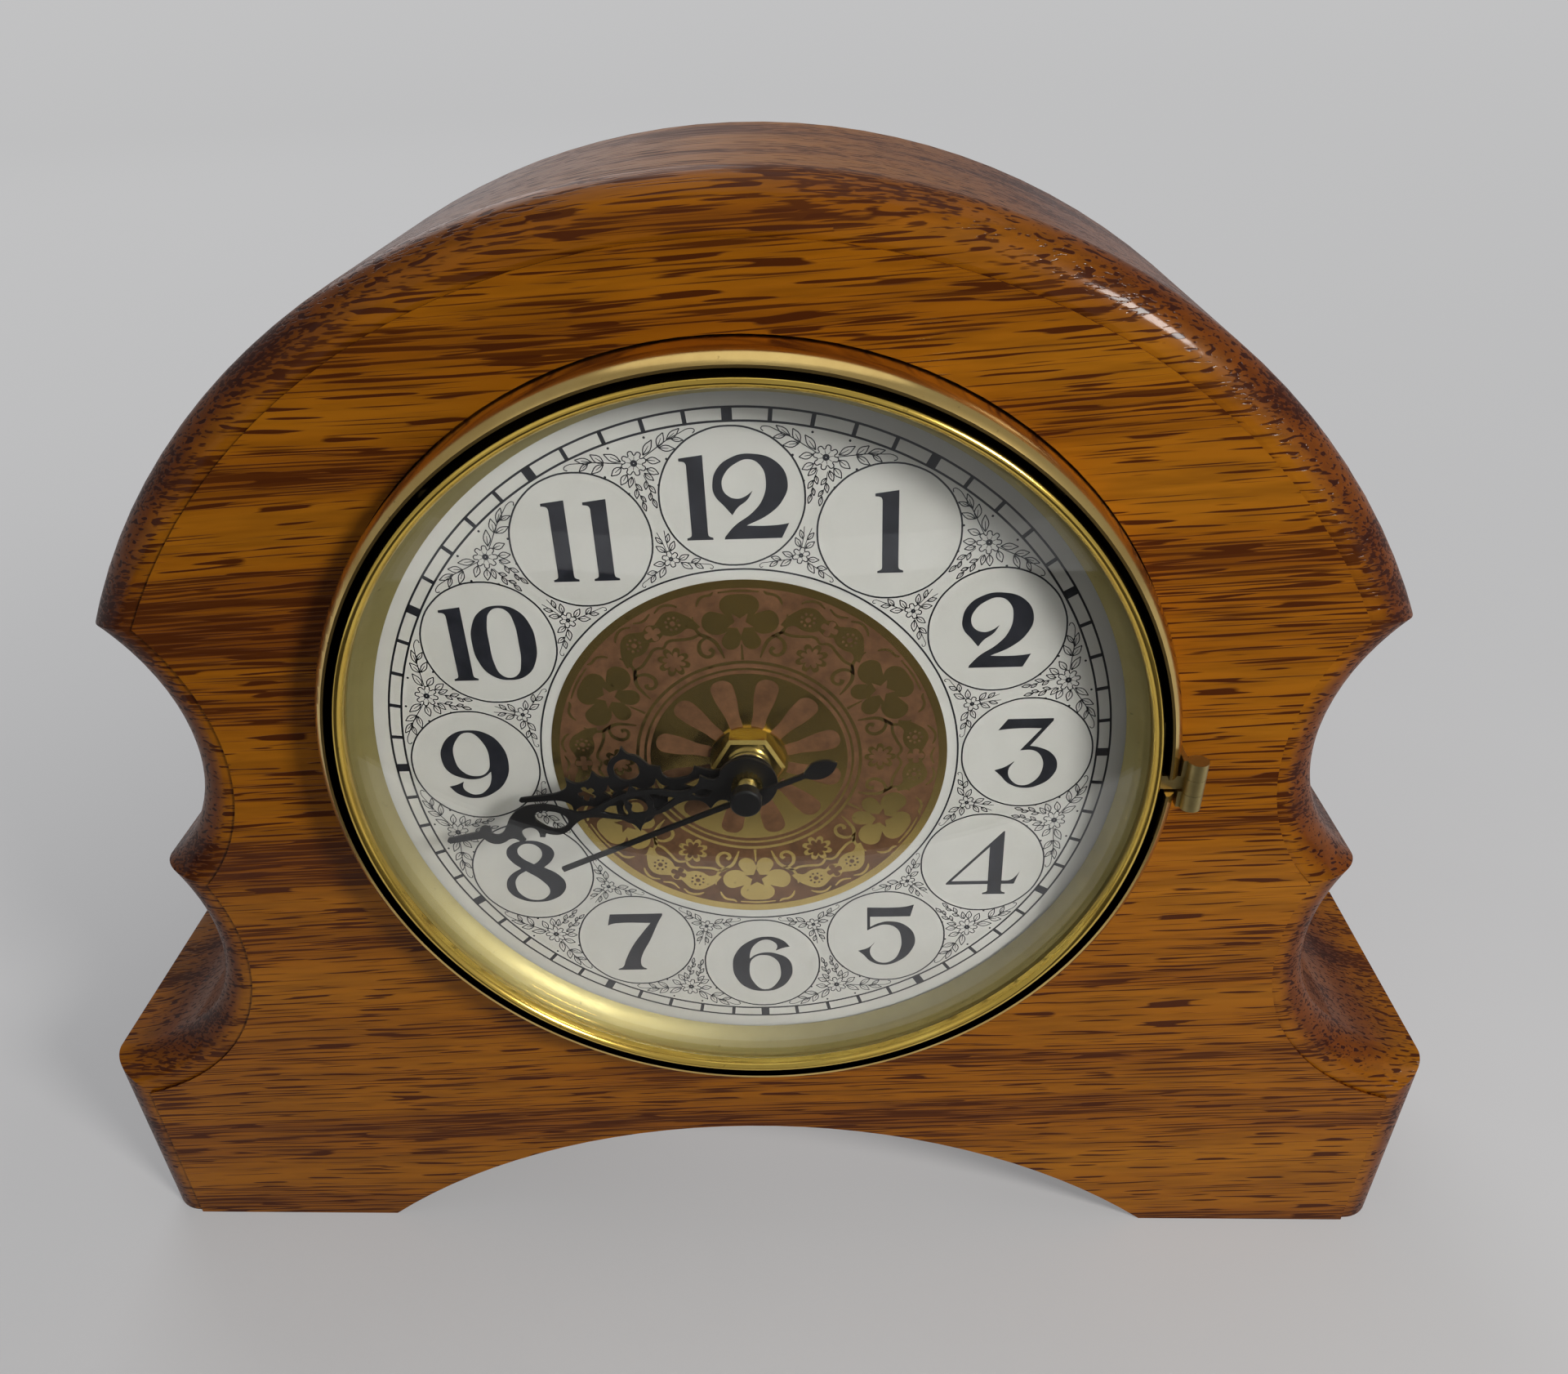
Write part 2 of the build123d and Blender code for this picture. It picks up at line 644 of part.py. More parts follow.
# Hinge leaf fixed to the bezel: strap, arm through the pan's slot and middle knuckle
with BuildPart() as bezel_hinge_leaf:
    with BuildSketch(dial_plane(hinge_strap_back)):
        Circle(strap_outer)
        Circle(bezel_outer_radius, mode=Mode.SUBTRACT)
        with Locations((strap_outer, 0)):
            Rectangle(strap_outer, 2 * hinge_strap_half_height, mode=Mode.INTERSECT)
    extrude(amount=hinge_strap_front - hinge_strap_back)
    with BuildSketch(hinge_plane(-hinge_knuckle_height / 2)):
        Circle(hinge_knuckle_radius)
    extrude(amount=hinge_knuckle_height)
    with BuildSketch(hinge_plane(-hinge_arm_half_height)):
        with Locations((bezel_outer_radius + hinge_strap_thickness / 2 - hinge_x, hinge_arm_drop)):
            Rectangle(hinge_x - bezel_outer_radius - hinge_strap_thickness / 2 - hinge_pin_radius,
                      hinge_arm_thickness, align=(Align.MIN, Align.MIN))
    extrude(amount=2 * hinge_arm_half_height)
    with BuildSketch(hinge_plane(-hinge_knuckle_height / 2)):
        Circle(hinge_pin_radius + running_clearance)
    extrude(amount=hinge_knuckle_height, mode=Mode.SUBTRACT)
    for rivet_plane in rivet_planes(strap_outer):
        with BuildSketch(rivet_plane):
            Circle(hinge_rivet_radius)
        extrude(amount=-hinge_rivet_depth, mode=Mode.SUBTRACT)

with BuildPart() as hinge_pin:
    with BuildSketch(hinge_plane(-hinge_height / 2)):
        Circle(hinge_pin_radius)
    extrude(amount=hinge_height)

# Two rivets through the strap into the bezel
with BuildPart() as hinge_rivets:
    for rivet_plane in rivet_planes(strap_outer):
        with BuildSketch(rivet_plane):
            Circle(hinge_rivet_radius)
        extrude(amount=-hinge_rivet_depth)

# Movement housing: an open box with a battery bay below a partition, and posts
with BuildPart() as movement_housing:
    with BuildSketch(movement_plane(movement_depth)):
        RectangleRounded(movement_size, movement_size, movement_corner)
    extrude(amount=movement_depth)
    with BuildSketch(movement_plane(movement_depth)):
        Rectangle(housing_inner, housing_inner)
    extrude(amount=movement_depth - housing_wall, mode=Mode.SUBTRACT)
    with BuildSketch(movement_plane(movement_depth)):
        with Locations((0, partition_z)):
            Rectangle(housing_inner, partition_thickness)
    extrude(amount=movement_depth - housing_wall)
    post_sets = ((stator_posts, centre_level), (plate_posts, plate_level), (board_posts, seconds_level))
    for places, level in post_sets:
        with BuildSketch(movement_plane(level)):
            with Locations(*places):
                Circle(post_radius)
        extrude(amount=level - housing_wall)
    with BuildSketch(movement_plane(housing_wall + overrun)):
        Circle(bush_radius)
    extrude(amount=housing_wall + 2 * overrun, mode=Mode.SUBTRACT)

# Rear cover of the gear space, with bosses for the rear pivots
cover_height = movement_size / 2 - cover_bottom
with BuildPart() as movement_cover:
    with BuildSketch(movement_plane(movement_depth + cover_thickness)):
        with Locations((0, cover_bottom + cover_height / 2)):
            RectangleRounded(movement_size, cover_height, movement_corner)
    extrude(amount=cover_thickness)
    pivots = ((0, 0), third_axis, intermediate_axis, rotor_axis)
    with BuildSketch(movement_plane(movement_depth)):
        with Locations(*pivots):
            Circle(boss_radius)
    extrude(amount=movement_depth - boss_level)
    with BuildSketch(movement_plane(arbor_end)):
        with Locations(*pivots):
            Circle(arbor_radius + running_clearance)
    extrude(amount=arbor_end - boss_level, mode=Mode.SUBTRACT)
    with BuildSketch(movement_plane(movement_depth + cover_thickness)):
        with Locations(setting_axis):
            Circle(setting_arbor_radius + running_clearance)
    extrude(amount=cover_thickness, mode=Mode.SUBTRACT)

# Middle plate between the hand-setting wheels and the going train
with BuildPart() as middle_plate:
    with BuildSketch(movement_plane(plate_level + middle_plate_thickness)):
        with Locations((0, middle_plate_lift)):
            Rectangle(middle_plate_width, middle_plate_height)
        Circle(minute_pipe_radius + running_clearance, mode=Mode.SUBTRACT)
        with Locations(setting_axis):
            Circle(setting_arbor_radius + running_clearance, mode=Mode.SUBTRACT)
        with Locations(third_axis, intermediate_axis, rotor_axis):
            Circle(arbor_radius + running_clearance, mode=Mode.SUBTRACT)
    extrude(amount=middle_plate_thickness)

# Threaded bush, washers and nut that clamp the movement through the dial
with BuildPart() as threaded_bush:
    with BuildSketch(movement_plane(housing_wall)):
        Circle(bush_radius)
        Circle(hour_pipe_radius + running_clearance, mode=Mode.SUBTRACT)
    extrude(amount=bush_front - movement_front + housing_wall)

with BuildPart() as rubber_washer:
    with BuildSketch(movement_plane(0)):
        Circle(rubber_washer_radius)
        Circle(bush_radius, mode=Mode.SUBTRACT)
    extrude(amount=rubber_washer_thickness)

with BuildPart() as nut_washer:
    with BuildSketch(dial_plane(-dial_inset)):
        Circle(nut_washer_radius)
        Circle(bush_radius, mode=Mode.SUBTRACT)
    extrude(amount=nut_washer_thickness)

with BuildPart() as bush_nut:
    with BuildSketch(dial_plane(-dial_inset + nut_washer_thickness)):
        RegularPolygon(bush_nut_corner_radius, bush_nut_sides)
    extrude(amount=bush_nut_thickness)
    chamfer(bush_nut.faces().sort_by(Axis.Y)[0].edges(), bush_nut_chamfer)
    with BuildSketch(dial_plane(-dial_inset)):
        Circle(bush_radius)
    extrude(amount=bush_nut_thickness + overrun, mode=Mode.SUBTRACT)

# Battery, lying across the bay, and its two contacts
bay_plane = Plane(origin=(0, front_y - movement_front + battery_depth, dial_height + battery_z),
                  x_dir=(0, 0, 1), z_dir=(1, 0, 0))
body_length = battery_length - battery_nub_length
with BuildPart() as battery:
    with BuildSketch(bay_plane.offset(-battery_length / 2)):
        Circle(battery_radius)
    extrude(amount=body_length)
    with BuildSketch(bay_plane.offset(-battery_length / 2 + body_length)):
        Circle(battery_nub_radius)
    extrude(amount=battery_nub_length)

contact_reach = (housing_inner - battery_length) / 2
with BuildPart() as contact_negative:
    with BuildSketch(bay_plane.offset(-housing_inner / 2)):
        Rectangle(contact_size, contact_size)
    extrude(amount=contact_thickness)
    with BuildSketch(bay_plane.offset(-housing_inner / 2)):
        Circle(contact_bump_radius)
    extrude(amount=contact_reach)

with BuildPart() as contact_positive:
    with BuildSketch(bay_plane.offset(housing_inner / 2)):
        Rectangle(contact_size, contact_size)
    extrude(amount=-contact_thickness)
    with BuildSketch(bay_plane.offset(housing_inner / 2)):
        Circle(contact_bump_radius)
    extrude(amount=-contact_reach)

# Circuit board on its posts
with BuildPart() as circuit_board:
    with BuildSketch(movement_plane(seconds_level + board_plate_thickness)):
        with Locations((board_centre_x, board_centre_z)):
            Rectangle(board_width, board_height)
    extrude(amount=board_plate_thickness)

# Stepping motor: stator plate, coil core and coil
core_level = centre_level + stator_thickness
leg_height = coil_lift + core_width / 2 + stator_band / 2
with BuildPart() as stator:
    with BuildSketch(movement_plane(core_level)):
        with Locations((0, rotor_axis[1])):
            Rectangle(stator_width, stator_band)
        for side in (-1, 1):
            with Locations((side * leg_x, rotor_axis[1] - stator_band / 2)):
                Rectangle(stator_leg_width, leg_height, align=(Align.CENTER, Align.MIN))
        with Locations(rotor_axis):
            Circle(rotor_magnet_radius + stator_air_gap, mode=Mode.SUBTRACT)
    extrude(amount=stator_thickness)

with BuildPart() as coil_core:
    with BuildSketch(movement_plane(core_level + core_thickness)):
        with Locations((0, coil_z)):
            Rectangle(core_length, core_width)
    extrude(amount=core_thickness)

coil_y = front_y - movement_front + core_level + core_thickness / 2
with BuildPart() as coil:
    with BuildSketch(Plane(origin=(-coil_length / 2, coil_y, dial_height + coil_z), z_dir=(1, 0, 0))):
        Circle(coil_radius)
        Circle(coil_bore_radius, mode=Mode.SUBTRACT)
    extrude(amount=coil_length)

# Rotor: magnet, pinion and arbor
with BuildPart() as rotor:
    with BuildSketch(movement_plane(core_level + core_thickness, rotor_axis)):
        Circle(rotor_magnet_radius)
    extrude(amount=core_thickness + stator_thickness)
    with BuildSketch(movement_plane(intermediate_level + wheel_thickness, rotor_axis)):
        make_face(gear_edges(rotor_pinion_teeth, rotor_pinion_pitch,
                             gap_towards(rotor_direction + 180, rotor_pinion_teeth)))
    extrude(amount=wheel_thickness)
    with BuildSketch(movement_plane(arbor_end, rotor_axis)):
        Circle(arbor_radius)
    extrude(amount=arbor_end - plate_level)

# Wheels of the going train, each with its pinion and arbor
with BuildPart() as intermediate_wheel:
    with BuildSketch(movement_plane(intermediate_level + wheel_thickness, intermediate_axis)):
        make_face(gear_edges(intermediate_teeth, intermediate_pitch, rotor_direction))
    extrude(amount=wheel_thickness)
    with BuildSketch(movement_plane(seconds_level + wheel_thickness, intermediate_axis)):
        make_face(gear_edges(intermediate_pinion_teeth, intermediate_pinion_pitch,
                             gap_towards(intermediate_direction + 180, intermediate_pinion_teeth)))
    extrude(amount=wheel_thickness)
    with BuildSketch(movement_plane(arbor_end, intermediate_axis)):
        Circle(arbor_radius)
    extrude(amount=arbor_end - plate_level)

with BuildPart() as seconds_wheel:
    with BuildSketch(movement_plane(seconds_level + wheel_thickness)):
        make_face(gear_edges(seconds_teeth, seconds_pitch, intermediate_direction))
    extrude(amount=wheel_thickness)
    with BuildSketch(movement_plane(third_level + wheel_thickness)):
        make_face(gear_edges(seconds_pinion_teeth, seconds_pinion_pitch, third_direction))
    extrude(amount=wheel_thickness)
    with BuildSketch(movement_plane(arbor_end)):
        Circle(arbor_radius)
    extrude(amount=arbor_end + seconds_shaft_front - movement_front)

with BuildPart() as third_wheel:
    with BuildSketch(movement_plane(third_level + wheel_thickness, third_axis)):
        make_face(gear_edges(third_teeth, third_pitch, gap_towards(third_direction + 180, third_teeth)))
    extrude(amount=wheel_thickness)
    with BuildSketch(movement_plane(centre_level + wheel_thickness, third_axis)):
        make_face(gear_edges(third_pinion_teeth, third_pinion_pitch, third_direction + 180))
    extrude(amount=wheel_thickness)
    with BuildSketch(movement_plane(arbor_end, third_axis)):
        Circle(arbor_radius)
    extrude(amount=arbor_end - plate_level)

# Centre wheel, a friction fit on the minute pipe so that the hands can be set
with BuildPart() as centre_wheel:
    with BuildSketch(movement_plane(centre_level + wheel_thickness)):
        make_face(gear_edges(centre_teeth, centre_pitch, gap_towards(third_direction, centre_teeth)))
        Circle(minute_pipe_radius + running_clearance, mode=Mode.SUBTRACT)
    extrude(amount=wheel_thickness)

# Minute pipe with its pinion
minute_pipe_back = centre_level + wheel_thickness + layer_gap / 2
with BuildPart() as minute_pipe:
    with BuildSketch(movement_plane(motion_level + wheel_thickness)):
        make_face(gear_edges(cannon_teeth, cannon_pitch, setting_direction))
    extrude(amount=wheel_thickness)
    with BuildSketch(movement_plane(minute_pipe_back)):
        Circle(minute_pipe_radius)
    extrude(amount=minute_pipe_back + minute_pipe_front - movement_front)
    with BuildSketch(movement_plane(minute_pipe_back)):
        Circle(arbor_radius + running_clearance)
    extrude(amount=minute_pipe_back + minute_pipe_front - movement_front, mode=Mode.SUBTRACT)

# Hour wheel and its pipe
hour_wheel_back = hour_level + wheel_thickness
with BuildPart() as hour_wheel:
    with BuildSketch(movement_plane(hour_wheel_back)):
        make_face(gear_edges(hour_teeth, hour_pitch, gap_towards(setting_direction, hour_teeth)))
    extrude(amount=wheel_thickness)
    with BuildSketch(movement_plane(hour_wheel_back)):
        Circle(hour_pipe_radius)
    extrude(amount=hour_wheel_back + hour_pipe_front - movement_front)
    with BuildSketch(movement_plane(hour_wheel_back)):
        Circle(minute_pipe_radius + running_clearance)
    extrude(amount=hour_wheel_back + hour_pipe_front - movement_front, mode=Mode.SUBTRACT)

# Setting wheel and pinion, on an arbor that carries the knob behind the cover
setting_arbor_end = knob_level + knob_thickness / 2
with BuildPart() as setting_wheel:
    with BuildSketch(movement_plane(motion_level + wheel_thickness, setting_axis)):
        make_face(gear_edges(setting_teeth, setting_pitch,
                             gap_towards(setting_direction + 180, setting_teeth)))
    extrude(amount=wheel_thickness)
    with BuildSketch(movement_plane(hour_wheel_back, setting_axis)):
        make_face(gear_edges(setting_pinion_teeth, setting_pinion_pitch, setting_direction + 180))
    extrude(amount=wheel_thickness)
    with BuildSketch(movement_plane(setting_arbor_end, setting_axis)):
        Circle(setting_arbor_radius)
    extrude(amount=setting_arbor_end - hour_level)

with BuildPart() as setting_knob:
    with BuildSketch(movement_plane(knob_level + knob_thickness, setting_axis)):
        Circle(knob_radius)
        with PolarLocations(knob_radius, knob_flute_count):
            Circle(knob_flute_radius, mode=Mode.SUBTRACT)
    extrude(amount=knob_thickness)
    with BuildSketch(movement_plane(setting_arbor_end, setting_axis)):
        Circle(setting_arbor_radius)
    extrude(amount=knob_thickness, mode=Mode.SUBTRACT)


def scaled(shares, length, half_width, side=1):
    """Points given as shares of a hand's length and half width, on one side of the hand."""
    return [(along * length, side * across * half_width) for along, across in shares]


# Hour hand: hub, almond, a pair of rings, heart, barbs and pointer
with BuildPart() as hour_hand:
    with BuildSketch(hand_plane(hour_hand_back, hour_hand_angle)):
        almond_reach = hour_almond_reach_share * hour_hand_length
        almond_spread = hour_almond_spread_share * hour_hand_half_width
        heart_reach = hour_heart_reach_share * hour_hand_length
        heart_spread = hour_heart_spread_share * hour_hand_half_width
        heart_place = hour_heart_share * hour_hand_length
        pointer_length = hour_hand_length - heart_place
        ring_radius = hour_ring_radius_share * hour_hand_half_width
        ring_offset = hour_ring_offset_share * hour_hand_half_width
        ring_along = hour_ring_share * hour_hand_length
        ring_places = ((ring_along, ring_offset), (ring_along, -ring_offset))
        Circle(hour_hub_radius)
        with Locations((hour_almond_share * hour_hand_length, 0)):
            Ellipse(almond_reach, almond_spread)
        with Locations(*ring_places):
            Circle(ring_radius)
        with Locations((heart_place, 0)):
            Ellipse(heart_reach, heart_spread)
        with Locations((heart_place + pointer_length / 2, 0)):
            SlotOverall(pointer_length, hand_pointer_width)
        with BuildLine():
            Polyline(*scaled(hour_barb_shares, hour_hand_length, hour_hand_half_width), close=True)
        make_face()
        for side in (-1, 1):
            with BuildLine():
                Polyline(*scaled(hour_crocket_shares, hour_hand_length, hour_hand_half_width, side),
                         close=True)
            make_face()
        with Locations((hour_almond_share * hour_hand_length, 0)):
            Ellipse(almond_reach - hand_band, almond_spread - hand_band, mode=Mode.SUBTRACT)
        with Locations(*ring_places):
            Circle(ring_radius - hand_band, mode=Mode.SUBTRACT)
        with Locations((heart_place, 0)):
            Ellipse(heart_reach - hand_band, heart_spread - hand_band, mode=Mode.SUBTRACT)
        Circle(hour_pipe_radius, mode=Mode.SUBTRACT)
    extrude(amount=hand_thickness)

# Minute hand: hub, two almonds, a loop, a wave and the pointer
with BuildPart() as minute_hand:
    with BuildSketch(hand_plane(minute_hand_back, minute_hand_angle)):
        almond_spread = minute_almond_spread_share * minute_hand_half_width
        loop_reach = minute_loop_reach_share * minute_hand_length
        loop_spread = minute_loop_spread_share * minute_hand_half_width
        wave_sag = minute_wave_sag_share * minute_hand_half_width
        knob_place = minute_knob_share * minute_hand_length
        pointer_length = minute_hand_length - knob_place
        Circle(minute_hub_radius)
        for place_share, reach_share in minute_almond_shares:
            with Locations((place_share * minute_hand_length, 0)):
                Ellipse(reach_share * minute_hand_length, almond_spread)
        with Locations((minute_loop_share * minute_hand_length, 0)):
            Ellipse(loop_reach, loop_spread)
        wave_points = scaled(minute_wave_shares, minute_hand_length, minute_hand_half_width)
        wave_start, wave_middle, wave_end = wave_points
        with BuildLine():
            bowed_arc(wave_start, wave_middle, wave_sag)
            bowed_arc(wave_middle, wave_end, -wave_sag)
        trace(line_width=hand_pointer_width)
        with Locations((knob_place, 0)):
            Circle(hand_pointer_width)
        with Locations((knob_place + pointer_length / 2, 0)):
            SlotOverall(pointer_length, hand_pointer_width)
        for side in (-1, 1):
            with BuildLine():
                Polyline(*scaled(minute_spur_shares, minute_hand_length, minute_hand_half_width, side),
                         close=True)
            make_face()
        for place_share, reach_share in minute_almond_shares:
            with Locations((place_share * minute_hand_length, 0)):
                Ellipse(reach_share * minute_hand_length - hand_band, almond_spread - hand_band,
                        mode=Mode.SUBTRACT)
        with Locations((minute_loop_share * minute_hand_length, 0)):
            Ellipse(loop_reach - hand_band, loop_spread - hand_band, mode=Mode.SUBTRACT)
        Circle(minute_hub_radius)
        Circle(minute_pipe_radius, mode=Mode.SUBTRACT)
    extrude(amount=hand_thickness)

# Knurled nut that holds the minute hand
with BuildPart() as minute_nut:
    with BuildSketch(dial_plane(minute_nut_back)):
        Circle(minute_nut_radius)
        Circle(minute_pipe_radius, mode=Mode.SUBTRACT)
        with PolarLocations(minute_nut_radius, minute_nut_flute_count):
            Circle(minute_nut_flute_radius, mode=Mode.SUBTRACT)
    extrude(amount=minute_nut_thickness)

# Second hand: needle, leaf-shaped counterweight and cap
with BuildPart() as second_hand:
    with BuildSketch(hand_plane(second_cap_back, second_hand_angle)):
        leaf_start = second_leaf_length - second_tail_length
        needle_length = second_hand_length - leaf_start + second_leaf_length / 2
        with Locations((second_hand_length - needle_length / 2, 0)):
            Rectangle(needle_length, second_hand_width)
        with BuildLine():
            bowed_arc((leaf_start, 0), (-second_tail_length, 0), second_leaf_width / 2)
            bowed_arc((-second_tail_length, 0), (leaf_start, 0), second_leaf_width / 2)
        make_face()
        Circle(second_cap_radius)
    extrude(amount=hand_thickness)
    with BuildSketch(dial_plane(second_cap_back)):
        Circle(second_cap_radius)
    extrude(amount=second_cap_height)
    fillet(second_hand.edges().group_by(Axis.Y)[0], second_cap_fillet)
    with BuildSketch(dial_plane(seconds_shaft_front)):
        Circle(arbor_radius)
    extrude(amount=-second_cap_height, mode=Mode.SUBTRACT)

# Label and write every piece
os.makedirs("parts", exist_ok=True)
pieces = {
    "case_front_board": case_front_board,
    "case_middle_board": case_middle_board,
    "case_rear_board": case_rear_board,
    "dial_pan": dial_pan,
    "pan_screws": pan_screws,
    "dial_plate": dial_plate,
    "bezel_ring": bezel_ring,
    "bezel_glass": bezel_glass,
    "glass_cove_ring": glass_cove_ring,
    "pan_hinge_leaf": pan_hinge_leaf,
    "bezel_hinge_leaf": bezel_hinge_leaf,
    "hinge_pin": hinge_pin,
    "hinge_rivets": hinge_rivets,
    "movement_housing": movement_housing,
    "movement_cover": movement_cover,
    "middle_plate": middle_plate,
    "threaded_bush": threaded_bush,
    "rubber_washer": rubber_washer,
    "nut_washer": nut_washer,
    "bush_nut": bush_nut,
    "battery": battery,
    "contact_negative": contact_negative,
    "contact_positive": contact_positive,
    "circuit_board": circuit_board,
    "stator": stator,
    "coil_core": coil_core,
    "coil": coil,
    "rotor": rotor,
    "intermediate_wheel": intermediate_wheel,
    "seconds_wheel": seconds_wheel,
    "third_wheel": third_wheel,
    "centre_wheel": centre_wheel,
    "minute_pipe": minute_pipe,
    "hour_wheel": hour_wheel,
    "setting_wheel": setting_wheel,
    "setting_knob": setting_knob,
    "hour_hand": hour_hand,
    "minute_hand": minute_hand,
    "minute_nut": minute_nut,
    "second_hand": second_hand,
}
for name, piece in pieces.items():
    piece.part.label = name
    export_step(piece.part, f"parts/{name}.step")
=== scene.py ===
import json
import math
import bpy
from mathutils import Matrix, Vector


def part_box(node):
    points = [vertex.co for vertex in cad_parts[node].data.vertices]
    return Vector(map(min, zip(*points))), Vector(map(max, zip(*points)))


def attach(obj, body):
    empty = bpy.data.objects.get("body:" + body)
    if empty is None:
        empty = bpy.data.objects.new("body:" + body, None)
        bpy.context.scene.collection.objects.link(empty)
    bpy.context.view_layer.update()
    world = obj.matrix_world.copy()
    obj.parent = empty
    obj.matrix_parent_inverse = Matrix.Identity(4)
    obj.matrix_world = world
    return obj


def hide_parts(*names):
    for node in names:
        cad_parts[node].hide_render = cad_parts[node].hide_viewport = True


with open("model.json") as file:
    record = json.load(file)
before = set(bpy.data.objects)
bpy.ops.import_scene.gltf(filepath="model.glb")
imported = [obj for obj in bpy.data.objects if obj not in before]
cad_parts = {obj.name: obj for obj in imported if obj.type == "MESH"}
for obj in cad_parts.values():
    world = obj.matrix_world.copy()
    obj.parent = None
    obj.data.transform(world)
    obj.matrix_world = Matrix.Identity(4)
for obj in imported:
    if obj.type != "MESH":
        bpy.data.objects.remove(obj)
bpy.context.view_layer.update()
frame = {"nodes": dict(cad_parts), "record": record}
dial_centre_height = 0.115
dial_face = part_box("dial_plate")[0][1]
mm = 0.001
dial_lean = -1.4


# Camera where the photographer stood

def place_camera():
    yaw, pitch, roll = 0.0286, 0.5783, -0.0181
    across = Vector((math.cos(yaw), math.sin(yaw), 0))
    ahead = Vector((-math.sin(yaw), math.cos(yaw), 0))
    up = math.sin(pitch) * ahead + math.cos(pitch) * Vector((0, 0, 1))
    forward = math.cos(pitch) * ahead - math.sin(pitch) * Vector((0, 0, 1))
    right = math.cos(roll) * across + math.sin(roll) * up
    top = math.cos(roll) * up - math.sin(roll) * across
    turn = Matrix((right, top, -forward)).transposed().to_4x4()
    lens = bpy.data.cameras.new("camera")
    lens.sensor_width = 36.0
    lens.lens = 27.48
    lens.shift_x = 0.0015
    lens.shift_y = 0.0359
    lens.clip_start = 0.01
    camera = bpy.data.objects.new("camera", lens)
    bpy.context.collection.objects.link(camera)
    camera.matrix_world = Matrix.Translation((0.00972, -0.17632, 0.22092)) @ turn
    bpy.context.scene.camera = camera


# Shader building

def new_finish(name):
    finish = bpy.data.materials.new(name)
    finish.use_nodes = True
    return finish


def shader_of(finish):
    return finish.node_tree.nodes["Principled BSDF"]


def put(finish, kind, values=None, **settings):
    """Adds a node; values go to its sockets, and a socket among them is linked."""
    made = finish.node_tree.nodes.new(kind)
    for key, value in settings.items():
        setattr(made, key, value)
    for key, value in (values or {}).items():
        plug(finish, made.inputs[key], value)
    return made


def plug(finish, socket, value):
    if isinstance(value, bpy.types.NodeSocket):
        finish.node_tree.links.new(value, socket)
    else:
        socket.default_value = value


def set_shader(finish, **values):
    for key, value in values.items():
        plug(finish, shader_of(finish).inputs[key.replace("_", " ")], value)


def object_place(finish, scale=(1, 1, 1), move=(0, 0, 0)):
    place = put(finish, "ShaderNodeTexCoord").outputs["Object"]
    return put(finish, "ShaderNodeMapping", {"Vector": place, "Scale": scale, "Location": move}).outputs[0]


def cloud(finish, place, size=1.0, detail=4.0, rough=0.55):
    return put(finish, "ShaderNodeTexNoise", {"Vector": place, "Scale": size, "Detail": detail,
                                              "Roughness": rough}).outputs["Fac"]


def ramp(finish, factor, stops):
    made = put(finish, "ShaderNodeValToRGB", {"Fac": factor})
    stripe = made.color_ramp
    while len(stripe.elements) < len(stops):
        stripe.elements.new(0.5)
    for element, (at, colour) in zip(stripe.elements, stops):
        element.position = at
        element.color = (*colour, 1)
    return made.outputs["Color"]


def grey_ramp(finish, factor, *stops):
    return ramp(finish, factor, [(at, (level, level, level)) for at, level in stops])


def blend(finish, factor, first, second, way="MIX"):
    made = put(finish, "ShaderNodeMix", data_type="RGBA", blend_type=way)
    plug(finish, made.inputs[0], factor)
    plug(finish, made.inputs[6], first if isinstance(first, bpy.types.NodeSocket) else (*first, 1))
    plug(finish, made.inputs[7], second if isinstance(second, bpy.types.NodeSocket) else (*second, 1))
    return made.outputs[2]


def maths(finish, way, first, second=0.0):
    made = put(finish, "ShaderNodeMath", operation=way)
    plug(finish, made.inputs[0], first)
    plug(finish, made.inputs[1], second)
    return made.outputs[0]


def relief(finish, height, depth, strength=1.0, under=None):
    values = {"Height": height, "Distance": depth, "Strength": strength}
    if under is not None:
        values["Normal"] = under
    return put(finish, "ShaderNodeBump", values).outputs[0]


def part_of(finish, vector, letter):
    return put(finish, "ShaderNodeSeparateXYZ", {"Vector": vector}).outputs[letter]


def radius_from_dial(finish):
    """Distance from the dial's axis, in metres."""
    place = object_place(finish, (1, 0, 1), (0, 0, -dial_centre_height))
    return put(finish, "ShaderNodeVectorMath", {0: place}, operation="LENGTH").outputs["Value"]


# Finishes

